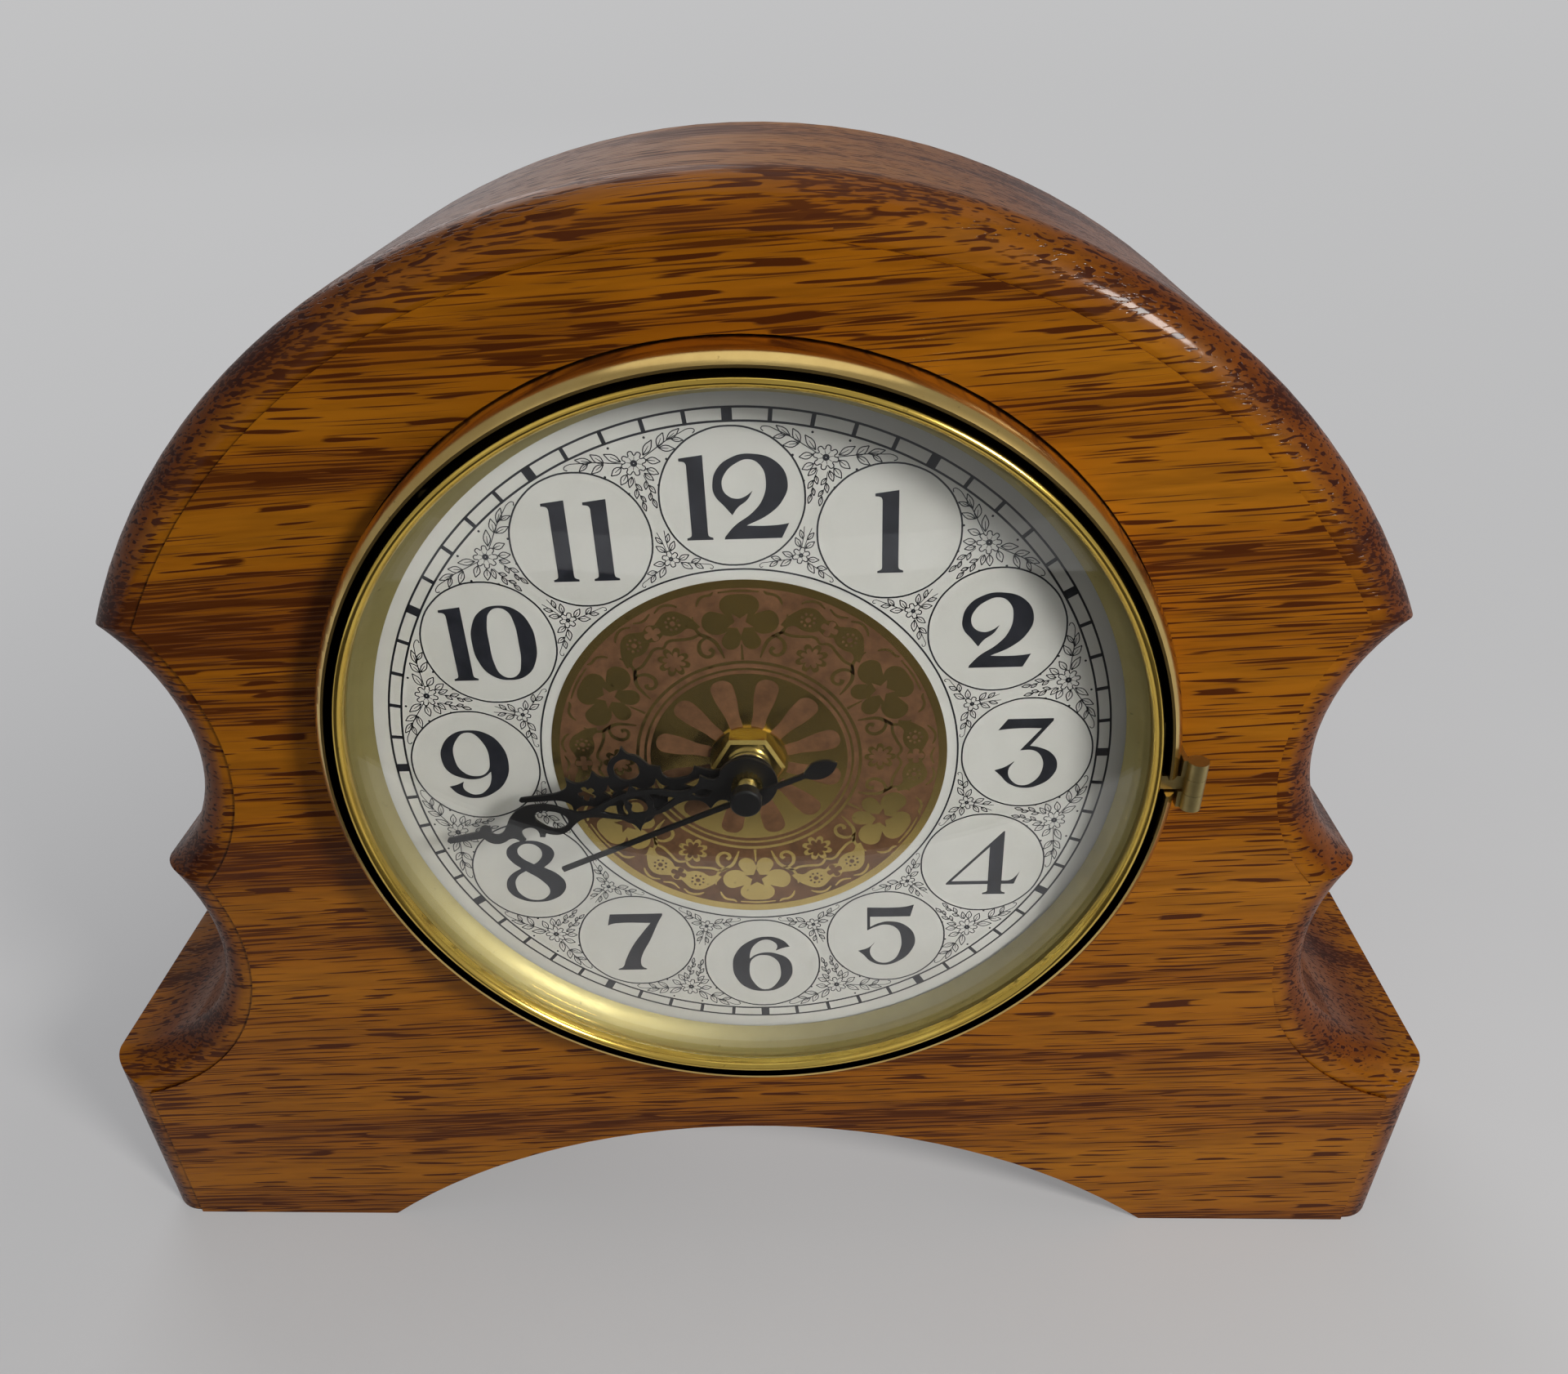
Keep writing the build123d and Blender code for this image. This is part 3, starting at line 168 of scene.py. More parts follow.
def oak(name, shift):
    """Varnished oak: grain that rises to the right, thin pores, fine lines in bands, dark end grain, and
    painted shade on faces turned towards the sides.
    """
    wood = new_finish(name)
    grain_slope, grain_sway = 0.060, 0.007
    place = put(wood, "ShaderNodeTexCoord").outputs["Object"]
    sloped = put(wood, "ShaderNodeMapping", {"Vector": place, "Rotation": (0, grain_slope, 0)}).outputs[0]
    drift = cloud(wood, object_place(wood, (6, 20, 20), shift), 1.0, 2.0)
    sway = put(wood, "ShaderNodeCombineXYZ", {"Z": maths(wood, "MULTIPLY", drift, grain_sway)}).outputs[0]
    bent = put(wood, "ShaderNodeVectorMath", {0: sloped, 1: sway}, operation="ADD").outputs[0]

    def along_grain(length, width):
        """Places for marks stretched along the grain: their usual length and width, in metres."""
        spread = (1 / length, 1 / width, 1 / width)
        return put(wood, "ShaderNodeMapping", {"Vector": bent, "Scale": spread,
                                               "Location": [50 * step for step in shift]}).outputs[0]

    bands = cloud(wood, along_grain(0.26, 0.0125), 1.0, 3.0, 0.55)
    flecks = cloud(wood, along_grain(0.018, 0.0016), 1.0, 3.0, 0.6)
    pores = cloud(wood, along_grain(0.0120, 0.00062), 1.0, 0.0)
    lines = cloud(wood, along_grain(0.024, 0.00042), 1.0, 1.0, 0.5)
    dense = put(wood, "ShaderNodeMapRange", {"Value": bands, "From Min": 0.38, "From Max": 0.55,
                                             "To Min": 1.0, "To Max": 0.0}).outputs[0]
    tone = ramp(wood, bands, [(0.34, (0.223, 0.062, 0.003)), (0.48, (0.362, 0.119, 0.003)),
                              (0.66, (0.423, 0.151, 0.005))])
    tone = blend(wood, 0.55, tone, grey_ramp(wood, flecks, (0.34, 0.52), (0.60, 1.0)), "MULTIPLY")
    pore_level = maths(wood, "ADD", pores, maths(wood, "MULTIPLY", dense, 0.05))
    line_level = maths(wood, "ADD", lines, maths(wood, "MULTIPLY", dense, 0.18))
    pore = grey_ramp(wood, pore_level, (0.640, 0.0), (0.685, 1.0))
    line = grey_ramp(wood, line_level, (0.62, 0.0), (0.70, 0.9))
    pore = blend(wood, 1.0, pore, line, "LIGHTEN")
    tone = blend(wood, pore, tone, (0.078, 0.017, 0.001))
    # Faces turned towards ±X are coloured darker: partly the real darker stain of end grain, partly painted
    # shade on the side faces and roundovers.
    facing = part_of(wood, put(wood, "ShaderNodeNewGeometry").outputs["Normal"], "X")
    end_grain_and_painted_shade = put(wood, "ShaderNodeMapRange", {"Value": maths(wood, "ABSOLUTE", facing), "From Min": 0.05,
                                                 "From Max": 0.40, "To Min": 0.0, "To Max": 0.95}).outputs[0]
    tone = blend(wood, end_grain_and_painted_shade, tone, blend(wood, 1.0, tone, (0.40, 0.27, 0.40), "MULTIPLY"))
    grain = maths(wood, "ADD", pore, maths(wood, "MULTIPLY", flecks, 0.5))
    grain_relief = relief(wood, grain, -0.00006, 0.5)
    set_shader(wood, Base_Color=tone, Roughness=grey_ramp(wood, pore, (0.0, 0.42), (1.0, 0.65)),
               Specular_IOR_Level=0.06, Coat_Weight=0.22, Coat_Roughness=0.11, Coat_IOR=1.5,
               Normal=grain_relief, Coat_Normal=grain_relief)
    return wood


def metal(name, colour, dark, rough, smear=0.10, lines=0.0):
    """Metal with faint tarnish, and fine turned lines round the dial's axis where asked."""
    sheet = new_finish(name)
    haze = cloud(sheet, object_place(sheet, (90, 90, 90)), 1.0, 5.0, 0.6)
    speck = cloud(sheet, object_place(sheet, (900, 900, 900)), 1.0, 2.0)
    tone = blend(sheet, grey_ramp(sheet, haze, (0.35, 0.0), (0.75, 1.0)), colour, dark)
    tone = blend(sheet, grey_ramp(sheet, speck, (0.70, 0.0), (0.78, 0.55)), tone,
                 tuple(0.35 * level for level in dark))
    set_shader(sheet, Base_Color=tone, Metallic=1.0,
               Roughness=grey_ramp(sheet, haze, (0.30, rough), (0.80, rough + smear)))
    fine = cloud(sheet, object_place(sheet, (700, 700, 700)), 1.0, 3.0)
    bump = relief(sheet, fine, 0.00001, 0.2)
    if lines:
        rings = {"W": radius_from_dial(sheet), "Scale": 5200.0, "Detail": 2.0}
        tool_marks = put(sheet, "ShaderNodeTexNoise", rings, noise_dimensions="1D").outputs["Fac"]
        bump = relief(sheet, tool_marks, 0.00003, lines, bump)
    set_shader(sheet, Normal=bump)
    return sheet


def plastic(name, colour, rough, grain=900.0, depth=0.00003, shine=0.5):
    body = new_finish(name)
    fine = cloud(body, object_place(body), grain, 3.0)
    broad = cloud(body, object_place(body), 60.0, 3.0)
    darker = tuple(0.72 * level for level in colour)
    set_shader(body, Base_Color=blend(body, grey_ramp(body, broad, (0.3, 0.0), (0.7, 1.0)), darker, colour),
               Roughness=grey_ramp(body, fine, (0.3, rough), (0.7, min(1.0, rough + 0.12))),
               Normal=relief(body, fine, depth, 0.35), Specular_IOR_Level=shine)
    return body


def clear_glass():
    """Clear glass that lets the lamps through to the dial."""
    pane = new_finish("clear_glass")
    wear = cloud(pane, object_place(pane), 60.0, 4.0)
    set_shader(pane, Base_Color=(0.985, 0.995, 0.990, 1), Transmission_Weight=1.0, IOR=1.45,
               Roughness=grey_ramp(pane, wear, (0.45, 0.0), (0.80, 0.03)))
    open_way = put(pane, "ShaderNodeBsdfTransparent", {"Color": (0.97, 0.98, 0.975, 1)})
    shadow = put(pane, "ShaderNodeLightPath").outputs["Is Shadow Ray"]
    both = put(pane, "ShaderNodeMixShader")
    plug(pane, both.inputs[0], shadow)
    plug(pane, both.inputs[1], shader_of(pane).outputs[0])
    plug(pane, both.inputs[2], open_way.outputs[0])
    plug(pane, pane.node_tree.nodes["Material Output"].inputs["Surface"], both.outputs[0])
    return pane


def dial_card():
    """White lacquered dial plate with a very faint mottle."""
    card = new_finish("dial_card")
    mottle = cloud(card, object_place(card), 55.0, 4.0)
    fibre = cloud(card, object_place(card), 1500.0, 2.0)
    tone = ramp(card, mottle, [(0.35, (0.565, 0.563, 0.533)), (0.65, (0.605, 0.605, 0.581))])
    set_shader(card, Base_Color=tone,
               Roughness=grey_ramp(card, fibre, (0.3, 0.42), (0.7, 0.55)),
               Normal=relief(card, fibre, 0.00001, 0.2))
    return card


def printed_ink(name, colour, rough):
    ink = new_finish(name)
    wash = cloud(ink, object_place(ink), 420.0, 4.0, 0.65)
    pale = tuple(min(1.0, 1.9 * level + 0.004) for level in colour)
    set_shader(ink, Base_Color=ramp(ink, wash, [(0.35, colour), (0.80, pale)]),
               Roughness=grey_ramp(ink, wash, (0.3, rough), (0.7, rough + 0.1)), Specular_IOR_Level=0.2)
    return ink


def pan_brass():
    """Brass of the pan, with painted shade, near black, inside its rim."""
    rim_inner = 0.06393
    pan = metal("pan_brass", (0.76, 0.55, 0.20), (0.60, 0.40, 0.13), 0.16, 0.10, 0.12)
    # Painted shade: inside the rim the brass is coloured near black, standing in for the shade and dark
    # reflections in the pan's recess.
    inside = maths(pan, "LESS_THAN", radius_from_dial(pan), rim_inner)
    tone = shader_of(pan).inputs["Base Color"].links[0].from_socket
    set_shader(pan, Base_Color=blend(pan, inside, tone, (0.012, 0.010, 0.008)))
    return pan


def bush_steel():
    """Nickel-plated bush with a fine thread."""
    bush = metal("bush_steel", (0.66, 0.65, 0.62), (0.50, 0.49, 0.46), 0.20)
    thread = put(bush, "ShaderNodeTexWave", {"Vector": object_place(bush), "Scale": 210.0},
                 wave_type="BANDS", bands_direction="Y").outputs["Fac"]
    set_shader(bush, Normal=relief(bush, thread, 0.00012, 0.9))
    return bush


def coil_copper():
    """Enamelled copper wire, wound close."""
    coil = metal("coil_copper", (0.72, 0.30, 0.13), (0.48, 0.16, 0.06), 0.25)
    turns = put(coil, "ShaderNodeTexWave", {"Vector": object_place(coil), "Scale": 900.0},
                wave_type="BANDS", bands_direction="X").outputs["Fac"]
    set_shader(coil, Normal=relief(coil, turns, 0.00005, 0.8))
    return coil


brass_polished = metal("brass_polished", (0.84, 0.60, 0.13), (0.72, 0.47, 0.09), 0.14, 0.10, 0.05)
brass_satin = metal("brass_satin", (0.38, 0.33, 0.15), (0.32, 0.27, 0.11), 0.46, 0.12, 0.30)
brass_aged = metal("brass_aged", (0.52, 0.42, 0.19), (0.30, 0.23, 0.09), 0.30, 0.18)
brass_nut = metal("brass_nut", (0.80, 0.60, 0.18), (0.60, 0.42, 0.11), 0.16)
steel_plain = metal("steel_plain", (0.60, 0.59, 0.57), (0.42, 0.41, 0.39), 0.24)
hand_black = plastic("hand_black", (0.007, 0.007, 0.008), 0.34, 1400.0, 0.00003, 0.28)
case_black = plastic("case_black", (0.018, 0.018, 0.020), 0.42)
gear_white = plastic("gear_white", (0.72, 0.71, 0.67), 0.38)
washer_rubber = plastic("washer_rubber", (0.014, 0.013, 0.012), 0.72, 1600.0, 0.00005)
board_green = plastic("board_green", (0.055, 0.135, 0.075), 0.40, 700.0)
battery_skin = plastic("battery_skin", (0.070, 0.072, 0.078), 0.28, 300.0)
ink_black = printed_ink("ink_black", (0.010, 0.011, 0.016), 0.45)
centre_brown = printed_ink("centre_brown", (0.095, 0.046, 0.021), 0.46)
centre_foil = metal("centre_foil", (0.82, 0.62, 0.22), (0.74, 0.53, 0.17), 0.17, 0.08)

finishes = {
    "case_front_board": oak("oak_front", (0, 0, 0)),
    "case_middle_board": oak("oak_middle", (0.31, 0.11, 0.27)),
    "case_rear_board": oak("oak_rear", (0.74, 0.05, 0.55)),
    "dial_pan": pan_brass(),
    "dial_plate": dial_card(),
    "bezel_ring": brass_polished,
    "glass_cove_ring": brass_satin,
    "bezel_glass": clear_glass(),
    "pan_hinge_leaf": brass_aged,
    "bezel_hinge_leaf": brass_aged,
    "hinge_pin": brass_aged,
    "hinge_rivets": brass_aged,
    "pan_screws": brass_aged,
    "nut_washer": brass_nut,
    "bush_nut": brass_nut,
    "minute_nut": brass_nut,
    "threaded_bush": bush_steel(),
    "rubber_washer": washer_rubber,
    "hour_hand": hand_black,
    "minute_hand": hand_black,
    "second_hand": hand_black,
    "movement_housing": case_black,
    "movement_cover": case_black,
    "setting_knob": case_black,
    "battery": battery_skin,
    "circuit_board": board_green,
    "coil": coil_copper(),
}
slot_finishes = {"brass": brass_aged, "steel": steel_plain, "black_plastic": case_black,
                 "white_plastic": gear_white, "rubber": washer_rubber}
slots = {row["node"]: row["material_slot"] for row in frame["record"]["subparts"]}
for node_name, node_object in frame["nodes"].items():
    chosen = finishes.get(node_name) or slot_finishes[slots[node_name]]
    node_object.data.materials.clear()
    node_object.data.materials.append(chosen)


# Flat work: drawn in millimetres as the viewer sees it, then laid on the dial

def select_only(*pieces):
    bpy.ops.object.select_all(action="DESELECT")
    for piece in pieces:
        piece.select_set(True)
    bpy.context.view_layer.objects.active = pieces[0]


def link_curve(name, flat):
    curve = bpy.data.curves.new(name, "CURVE")
    curve.dimensions = "2D" if flat else "3D"
    piece = bpy.data.objects.new(name, curve)
    bpy.context.collection.objects.link(piece)
    return piece


def filled(name, outlines, thickness=0.02, smooth=5, edge=0.0):
    """A flat shape from closed outlines; a point is a pair, with a third item at a sharp corner."""
    piece = link_curve(name, True)
    piece.data.fill_mode = "BOTH"
    piece.data.extrude = thickness / 2 - edge
    piece.data.bevel_depth = edge
    piece.data.bevel_resolution = 1
    piece.data.offset = -edge
    for outline in outlines:
        spline = piece.data.splines.new("BEZIER")
        spline.use_cyclic_u = True
        spline.resolution_u = smooth
        spline.bezier_points.add(len(outline) - 1)
        for point, place in zip(spline.bezier_points, outline):
            point.co = (place[0], place[1], 0)
            kind = "VECTOR" if len(place) > 2 else "AUTO"
            point.handle_left_type = kind
            point.handle_right_type = kind
    select_only(piece)
    bpy.ops.object.convert(target="MESH")
    return bpy.context.object


def ribbons(name, lines, smooth=4):
    """Flat pen strokes; a line is its points, each with its half width, and may close on itself."""
    piece = link_curve(name, False)
    piece.data.twist_mode = "Z_UP"
    piece.data.extrude = 1.0
    for line, closed in lines:
        spline = piece.data.splines.new("BEZIER")
        spline.use_cyclic_u = closed
        spline.resolution_u = smooth if len(line) > 2 else 1
        spline.bezier_points.add(len(line) - 1)
        for point, (x, y, half_width) in zip(spline.bezier_points, line):
            point.co = (x, y, 0)
            point.handle_left_type = "AUTO"
            point.handle_right_type = "AUTO"
            point.radius = half_width
            point.tilt = math.pi / 2
    select_only(piece)
    bpy.ops.object.convert(target="MESH")
    return bpy.context.object


def lay_on_dial(piece, face, turn=0.0):
    """Stands a flat piece up in the clock, at a depth, turned clockwise about the dial's centre."""
    piece.rotation_euler = (math.pi / 2, 0, 0)
    piece.scale = (mm, mm, mm)
    piece.location = (0, face, dial_centre_height)
    select_only(piece)
    bpy.ops.object.transform_apply(location=True, rotation=True, scale=True)
    if turn:
        spin = (Matrix.Translation((0, 0, dial_centre_height)) @ Matrix.Rotation(math.radians(turn), 4, "Y")
                @ Matrix.Translation((0, 0, -dial_centre_height)))
        piece.matrix_world = spin
        bpy.ops.object.transform_apply(location=True, rotation=True, scale=True)


def merge(name, pieces):
    select_only(*pieces)
    bpy.ops.object.join()
    joined = bpy.context.object
    joined.name = name
    return joined


def dress(piece, name, finish, body):
    piece.name = name
    piece.data.materials.clear()
    piece.data.materials.append(finish)
    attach(piece, body)


def around(radius, degrees):
    """Point on a circle about the dial's centre, clockwise from twelve."""
    turn = math.radians(degrees)
    return (radius * math.sin(turn), radius * math.cos(turn))


def circle_line(centre, radius, half_width, count=12):
    turns = [2 * math.pi * step / count for step in range(count)]
    places = [(centre[0] + radius * math.cos(t), centre[1] + radius * math.sin(t)) for t in turns]
    return ([(x, y, half_width) for x, y in places], True)


def repeat_around(piece, turns):
    """Copies a flat piece round the dial's centre, each turn clockwise in degrees, as one piece."""
    copies = []
    for turn in turns:
        copy = piece.copy()
        copy.data = piece.data.copy()
        bpy.context.collection.objects.link(copy)
        copy.rotation_euler = (0, 0, -math.radians(turn))
        copies.append(copy)
    bpy.data.objects.remove(piece)
    select_only(*copies)
    bpy.ops.object.transform_apply(location=True, rotation=True, scale=True)
    return merge(copies[0].name, copies)


def both_sides(lines):
    """Pen strokes and their mirror images."""
    return lines + [([(-x, y, half_width) for x, y, half_width in line], closed) for line, closed in lines]


def mirrored(half):
    """A closed outline from its right half, which starts and ends on the middle line."""
    return half + [(-p[0], *p[1:]) for p in reversed(half) if abs(p[0]) > 1e-6]


def dot(x, y, radius, count=6):
    turns = [2 * math.pi * step / count for step in range(count)]
    return [(x + radius * math.cos(t), y + radius * math.sin(t)) for t in turns]


def rosette(x, y, petals, tip, notch, sharp=True):
    """Petalled outline: round petals out to tip, with notches between them."""
    points = []
    for step in range(petals):
        turn = 2 * math.pi * step / petals
        step_angle = math.pi / petals
        for share, radius in ((-0.45, 0.94 * tip), (0.0, tip), (0.45, 0.94 * tip)):
            t = turn + share * step_angle
            points.append((x + radius * math.sin(t), y + radius * math.cos(t)))
        t = turn + step_angle
        corner = (x + notch * math.sin(t), y + notch * math.cos(t))
        points.append((*corner, 1) if sharp else corner)
    return points


def moved(outline, x, y, size=1.0, flip=1):
    return [(x + flip * size * p[0], y + flip * size * p[1], *p[2:]) for p in outline]


# Sizes of the printed dial, in millimetres

numeral_ring = 43.65
numeral_ring_radius = 10.15
centre_line = 32.85
track_inner, track_outer = 54.45, 56.35
outer_sprig_ring, inner_sprig_ring = 50.4, 36.1
gilt_radius, rosette_radius = 31.2, 15.6
blossom_ring, star_flower_ring, cell_ring, cell_dot_ring = 24.1, 20.7, 26.3, 26.1

# Half widths of the printed lines, in millimetres

ring_pen, centre_pen, track_pen = 0.13, 0.14, 0.16
hour_mark, minute_mark = 0.72, 0.30

# Heights of the print above the dial plate, in metres

ink_lift, line_lift, foil_lift = 0.00002, 0.00003, 0.00004

# Numerals of the dial, in tenths of a millimetre about the middle of each

one = [[(13, 62, 1), (13, -51, 1), (14, -56), (20, -59, 1), (20, -62, 1), (-17, -62, 1), (-17, -59, 1),
        (-11, -56), (-10, -51, 1), (-10, 48, 1), (-12, 52), (-20, 54, 1), (-20, 58, 1)]]
two = [[(1, 62), (38, 49), (52, 19), (44, -6), (24, -26), (-8, -42, 1), (15, -43), (40, -42), (52, -40, 1),
        (41, -62, 1), (-40, -62, 1), (-39, -58, 1), (-25, -42), (1, -23), (16, -4), (22, 23), (16, 44),
        (1, 54), (-18, 49), (-35, 33), (-39, 17), (-33, 4), (-19, -2), (-8, 1), (3, 9, 1), (-5, -4),
        (-19, -15), (-27, -26, 1), (-37, -13), (-50, 4), (-52, 19), (-45, 41), (-25, 57)]]
three = [[(-33, 64, 1), (37, 64, 1), (37, 60, 1), (4, 14, 1), (18, 11), (39, -1), (49, -22), (43, -44),
          (23, -61), (-2, -66), (-25, -57), (-40, -40), (-49, -31, 1), (-33, -25), (-18, -14, 1),
          (-27, -32), (-21, -51), (-4, -61), (15, -53), (26, -32), (24, -9), (11, 5), (-11, 6, 1),
          (20, 46, 1), (-2, 47), (-30, 46), (-47, 44, 1)]]
four = [[(32, 66, 1), (34, 66, 1), (34, -38, 1), (48, -37), (57, -29), (63, -19, 1), (55, -45, 1),
         (34, -45, 1), (34, -57, 1), (35, -61), (41, -64, 1), (41, -67, 1), (3, -67, 1), (3, -64, 1),
         (10, -61), (11, -57, 1), (11, -45, 1), (-59, -45, 1), (-59, -42, 1)],
        [(11, 34, 1), (11, -38, 1), (-50, -38, 1)]]
five = [[(-32, 67, 1), (12, 66), (35, 68), (48, 72, 1), (42, 46, 1), (-27, 46, 1), (-27, 23, 1), (-13, 31),
         (8, 35), (35, 25), (51, -3), (45, -33), (25, -56), (-2, -66), (-25, -58), (-39, -41), (-48, -32, 1),
         (-30, -25), (-19, -13, 1), (-27, -29), (-22, -50), (-6, -61), (13, -55), (25, -33), (27, -3),
         (19, 19), (0, 28), (-18, 23), (-32, 15, 1)]]
six = [[(48, 39, 1), (36, 54), (8, 63), (-24, 52), (-47, 27), (-55, -5), (-49, -37), (-31, -59), (-2, -67),
        (26, -60), (46, -37), (51, -14), (44, 10), (26, 22), (5, 26), (-13, 21), (-24, 12, 1), (-22, 27),
        (-13, 45), (5, 56), (20, 51), (26, 41), (23, 30, 1), (36, 36)],
       [(-25, -7), (-17, 13), (1, 20), (21, 11), (30, -14), (23, -46), (0, -63), (-19, -46)]]
seven = [[(-41, 62, 1), (50, 62, 1), (50, 58, 1), (42, 43), (24, 2), (6, -34), (2, -53), (4, -61),
          (11, -66, 1), (11, -68, 1), (-40, -68, 1), (-40, -66, 1), (-31, -61), (-25, -46), (-10, -14),
          (14, 22), (28, 41, 1), (-28, 42), (-40, 40), (-47, 37, 1)]]
eight = [[(1, 66), (26, 60), (41, 43), (36, 25), (20, 9, 1), (42, -7), (52, -26), (46, -46), (26, -61),
          (1, -66), (-29, -60), (-47, -43), (-49, -25), (-40, -7), (-19, 8, 1), (-33, 23), (-39, 40),
          (-30, 57)],
         [(1, 60), (16, 53), (21, 39), (13, 23), (4, 16, 1), (-15, 31), (-20, 43), (-14, 55)],
         [(-12, 2, 1), (-27, -9), (-34, -27), (-26, -51), (-1, -62), (17, -54), (23, -40), (12, -19)]]
nought = [[(0, 63), (28, 54), (44, 29), (48, 0), (44, -29), (28, -54), (0, -63), (-28, -54), (-44, -29),
           (-48, 0), (-44, 29), (-28, 54)],
          [(0, 59), (13, 53), (20, 35), (22, 0), (20, -35), (13, -53), (0, -59), (-13, -53), (-20, -35),
           (-22, 0), (-20, 35), (-13, 53)]]
numerals = [[(one, -50, 1), (two, 26, 1)], [(one, 0, 1)], [(two, 0, 1)], [(three, 0, 1)], [(four, 0, 1)],
            [(five, 0, 1)], [(six, 2, 1)], [(seven, 0, 1)], [(eight, 0, 1)], [(six, -2, -1)],
            [(one, -46, 1), (nought, 23, 1)], [(one, -30, 1), (one, 29, 1)]]
numeral_pieces = []
for hour, signs in enumerate(numerals):
    middle = around(numeral_ring, 30 * hour)
    for sign, shift, flip in signs:
        outlines = [moved(line, middle[0] + 0.1 * shift, middle[1], 0.1, flip) for line in sign]
        numeral_pieces.append(filled("numeral", outlines))
hour_numerals = merge("hour_numerals", numeral_pieces)
lay_on_dial(hour_numerals, dial_face - ink_lift, dial_lean)
dress(hour_numerals, "hour_numerals", ink_black, "case")

# Rings round the numerals and the minute track

rule_lines = [circle_line(around(numeral_ring, 30 * hour), numeral_ring_radius, ring_pen, 16)
              for hour in range(12)]
rule_lines += [circle_line((0, 0), centre_line, centre_pen, 48),
               circle_line((0, 0), track_inner, track_pen, 64),
               circle_line((0, 0), track_outer, track_pen, 64)]
for minute in range(60):
    half_width = hour_mark if minute % 5 == 0 else minute_mark
    ends = [around(track_inner, 6 * minute), around(track_outer, 6 * minute)]
    rule_lines.append(([(x, y, half_width) for x, y in ends], False))
minute_track = ribbons("minute_track", rule_lines)
lay_on_dial(minute_track, dial_face - line_lift, dial_lean)
dress(minute_track, "minute_track", ink_black, "case")

# Flower sprigs between the numeral rings

def leaf(x1, y1, x2, y2, width):
    """A pointed leaf: two bowed sides and a rib."""
    across, along = x2 - x1, y2 - y1
    length = math.hypot(across, along)
    side_x, side_y = -along / length * width / 2, across / length * width / 2
    middle_x, middle_y = x1 + 0.45 * across, y1 + 0.45 * along
    pen = 0.075
    return [([(x1, y1, pen), (middle_x + side_x, middle_y + side_y, pen), (x2, y2, pen)], False),
            ([(x1, y1, pen), (middle_x - side_x, middle_y - side_y, pen), (x2, y2, pen)], False),
            ([(x1, y1, pen), (x1 + 0.62 * across, y1 + 0.62 * along, 0.04)], False)]


def flower(x, y, petals, tip, notch):
    outline = rosette(x, y, petals, tip, notch, False)
    lines = [([(px, py, 0.08) for px, py in outline], True)]
    for step in range(petals):
        turn = 2 * math.pi * (step + 0.5) / petals
        near, far = 0.30 * tip, 0.9 * notch
        lines.append(([(x + near * math.sin(turn), y + near * math.cos(turn), 0.05),
                       (x + far * math.sin(turn), y + far * math.cos(turn), 0.03)], False))
    lines.append(circle_line((x, y), 0.16 * tip, 0.12 * tip, 6))
    return lines


outer_arm = [([(1.5, 0.7, 0.06), (3.2, 1.3, 0.07), (5.2, 2.0, 0.07), (7.4, 2.5, 0.06), (8.9, 2.7, 0.06),
               (9.5, 2.3, 0.07), (9.1, 1.95, 0.08)], False),
             ([(0.7, -1.6, 0.05), (0.85, -3.4, 0.05), (0.7, -5.2, 0.05)], False)]
for ends in ((1.6, 1.0, 3.5, 2.7, 1.0), (1.8, 0.3, 3.6, -0.5, 0.95), (3.9, 1.5, 5.3, 3.2, 1.0),
             (4.0, 1.4, 6.1, 0.6, 0.85), (5.4, 2.1, 7.6, 3.1, 0.85), (6.0, 2.1, 7.6, 1.4, 0.6),
             (1.4, -0.9, 2.8, -2.1, 0.95), (0.9, -1.4, 1.8, -2.8, 0.7), (0.8, -2.5, 0.25, -3.7, 0.55),
             (0.9, -3.2, 1.4, -4.6, 0.6), (0.75, -4.3, 0.3, -5.4, 0.5), (0.75, -5.2, 0.8, -6.7, 0.55)):
    outer_arm += leaf(*ends)
outer_arm += [circle_line(place, 0.09, 0.09, 6) for place in ((2.6, 3.3), (4.5, -0.4), (2.2, -3.6))]
outer_lines = both_sides(outer_arm) + flower(0, 0.3, 8, 1.75, 1.15)
outer_lines = [([(x, y + outer_sprig_ring, w) for x, y, w in line], closed) for line, closed in outer_lines]
inner_arm = [([(0.9, -0.9, 0.05), (2.6, -1.6, 0.06), (4.4, -2.3, 0.05), (5.4, -2.9, 0.05), (5.2, -3.3, 0.06),
               (4.9, -3.1, 0.06)], False),
             ([(0.2, 1.0, 0.05), (0.3, 2.6, 0.05), (0.55, 4.2, 0.05)], False)]
for ends in ((1.0, -0.6, 2.7, -0.3, 0.8), (1.2, -1.1, 2.5, -2.5, 0.85), (2.6, -1.5, 4.1, -1.4, 0.7),
             (3.0, -1.8, 4.0, -2.9, 0.65), (0.35, 1.0, 1.4, 2.3, 0.75), (0.3, 2.3, 1.0, 3.6, 0.6)):
    inner_arm += leaf(*ends)
inner_lines = both_sides(inner_arm) + flower(0, -0.2, 6, 1.25, 0.8)
inner_lines = [([(x, y + inner_sprig_ring, w) for x, y, w in line], closed) for line, closed in inner_lines]
sprig = ribbons("sprig", outer_lines + inner_lines, 3)
sprigs = repeat_around(sprig, [15 + 30 * hour for hour in range(12)])
lay_on_dial(sprigs, dial_face - line_lift, dial_lean)
dress(sprigs, "flower_sprigs", ink_black, "case")

# Gilt middle of the dial: a brown ground and foil ornament that repeats six times

ground = filled("ground", [dot(0, 0, gilt_radius, 64)])
lay_on_dial(ground, dial_face - ink_lift, dial_lean)
dress(ground, "centre_ground", centre_brown, "case")

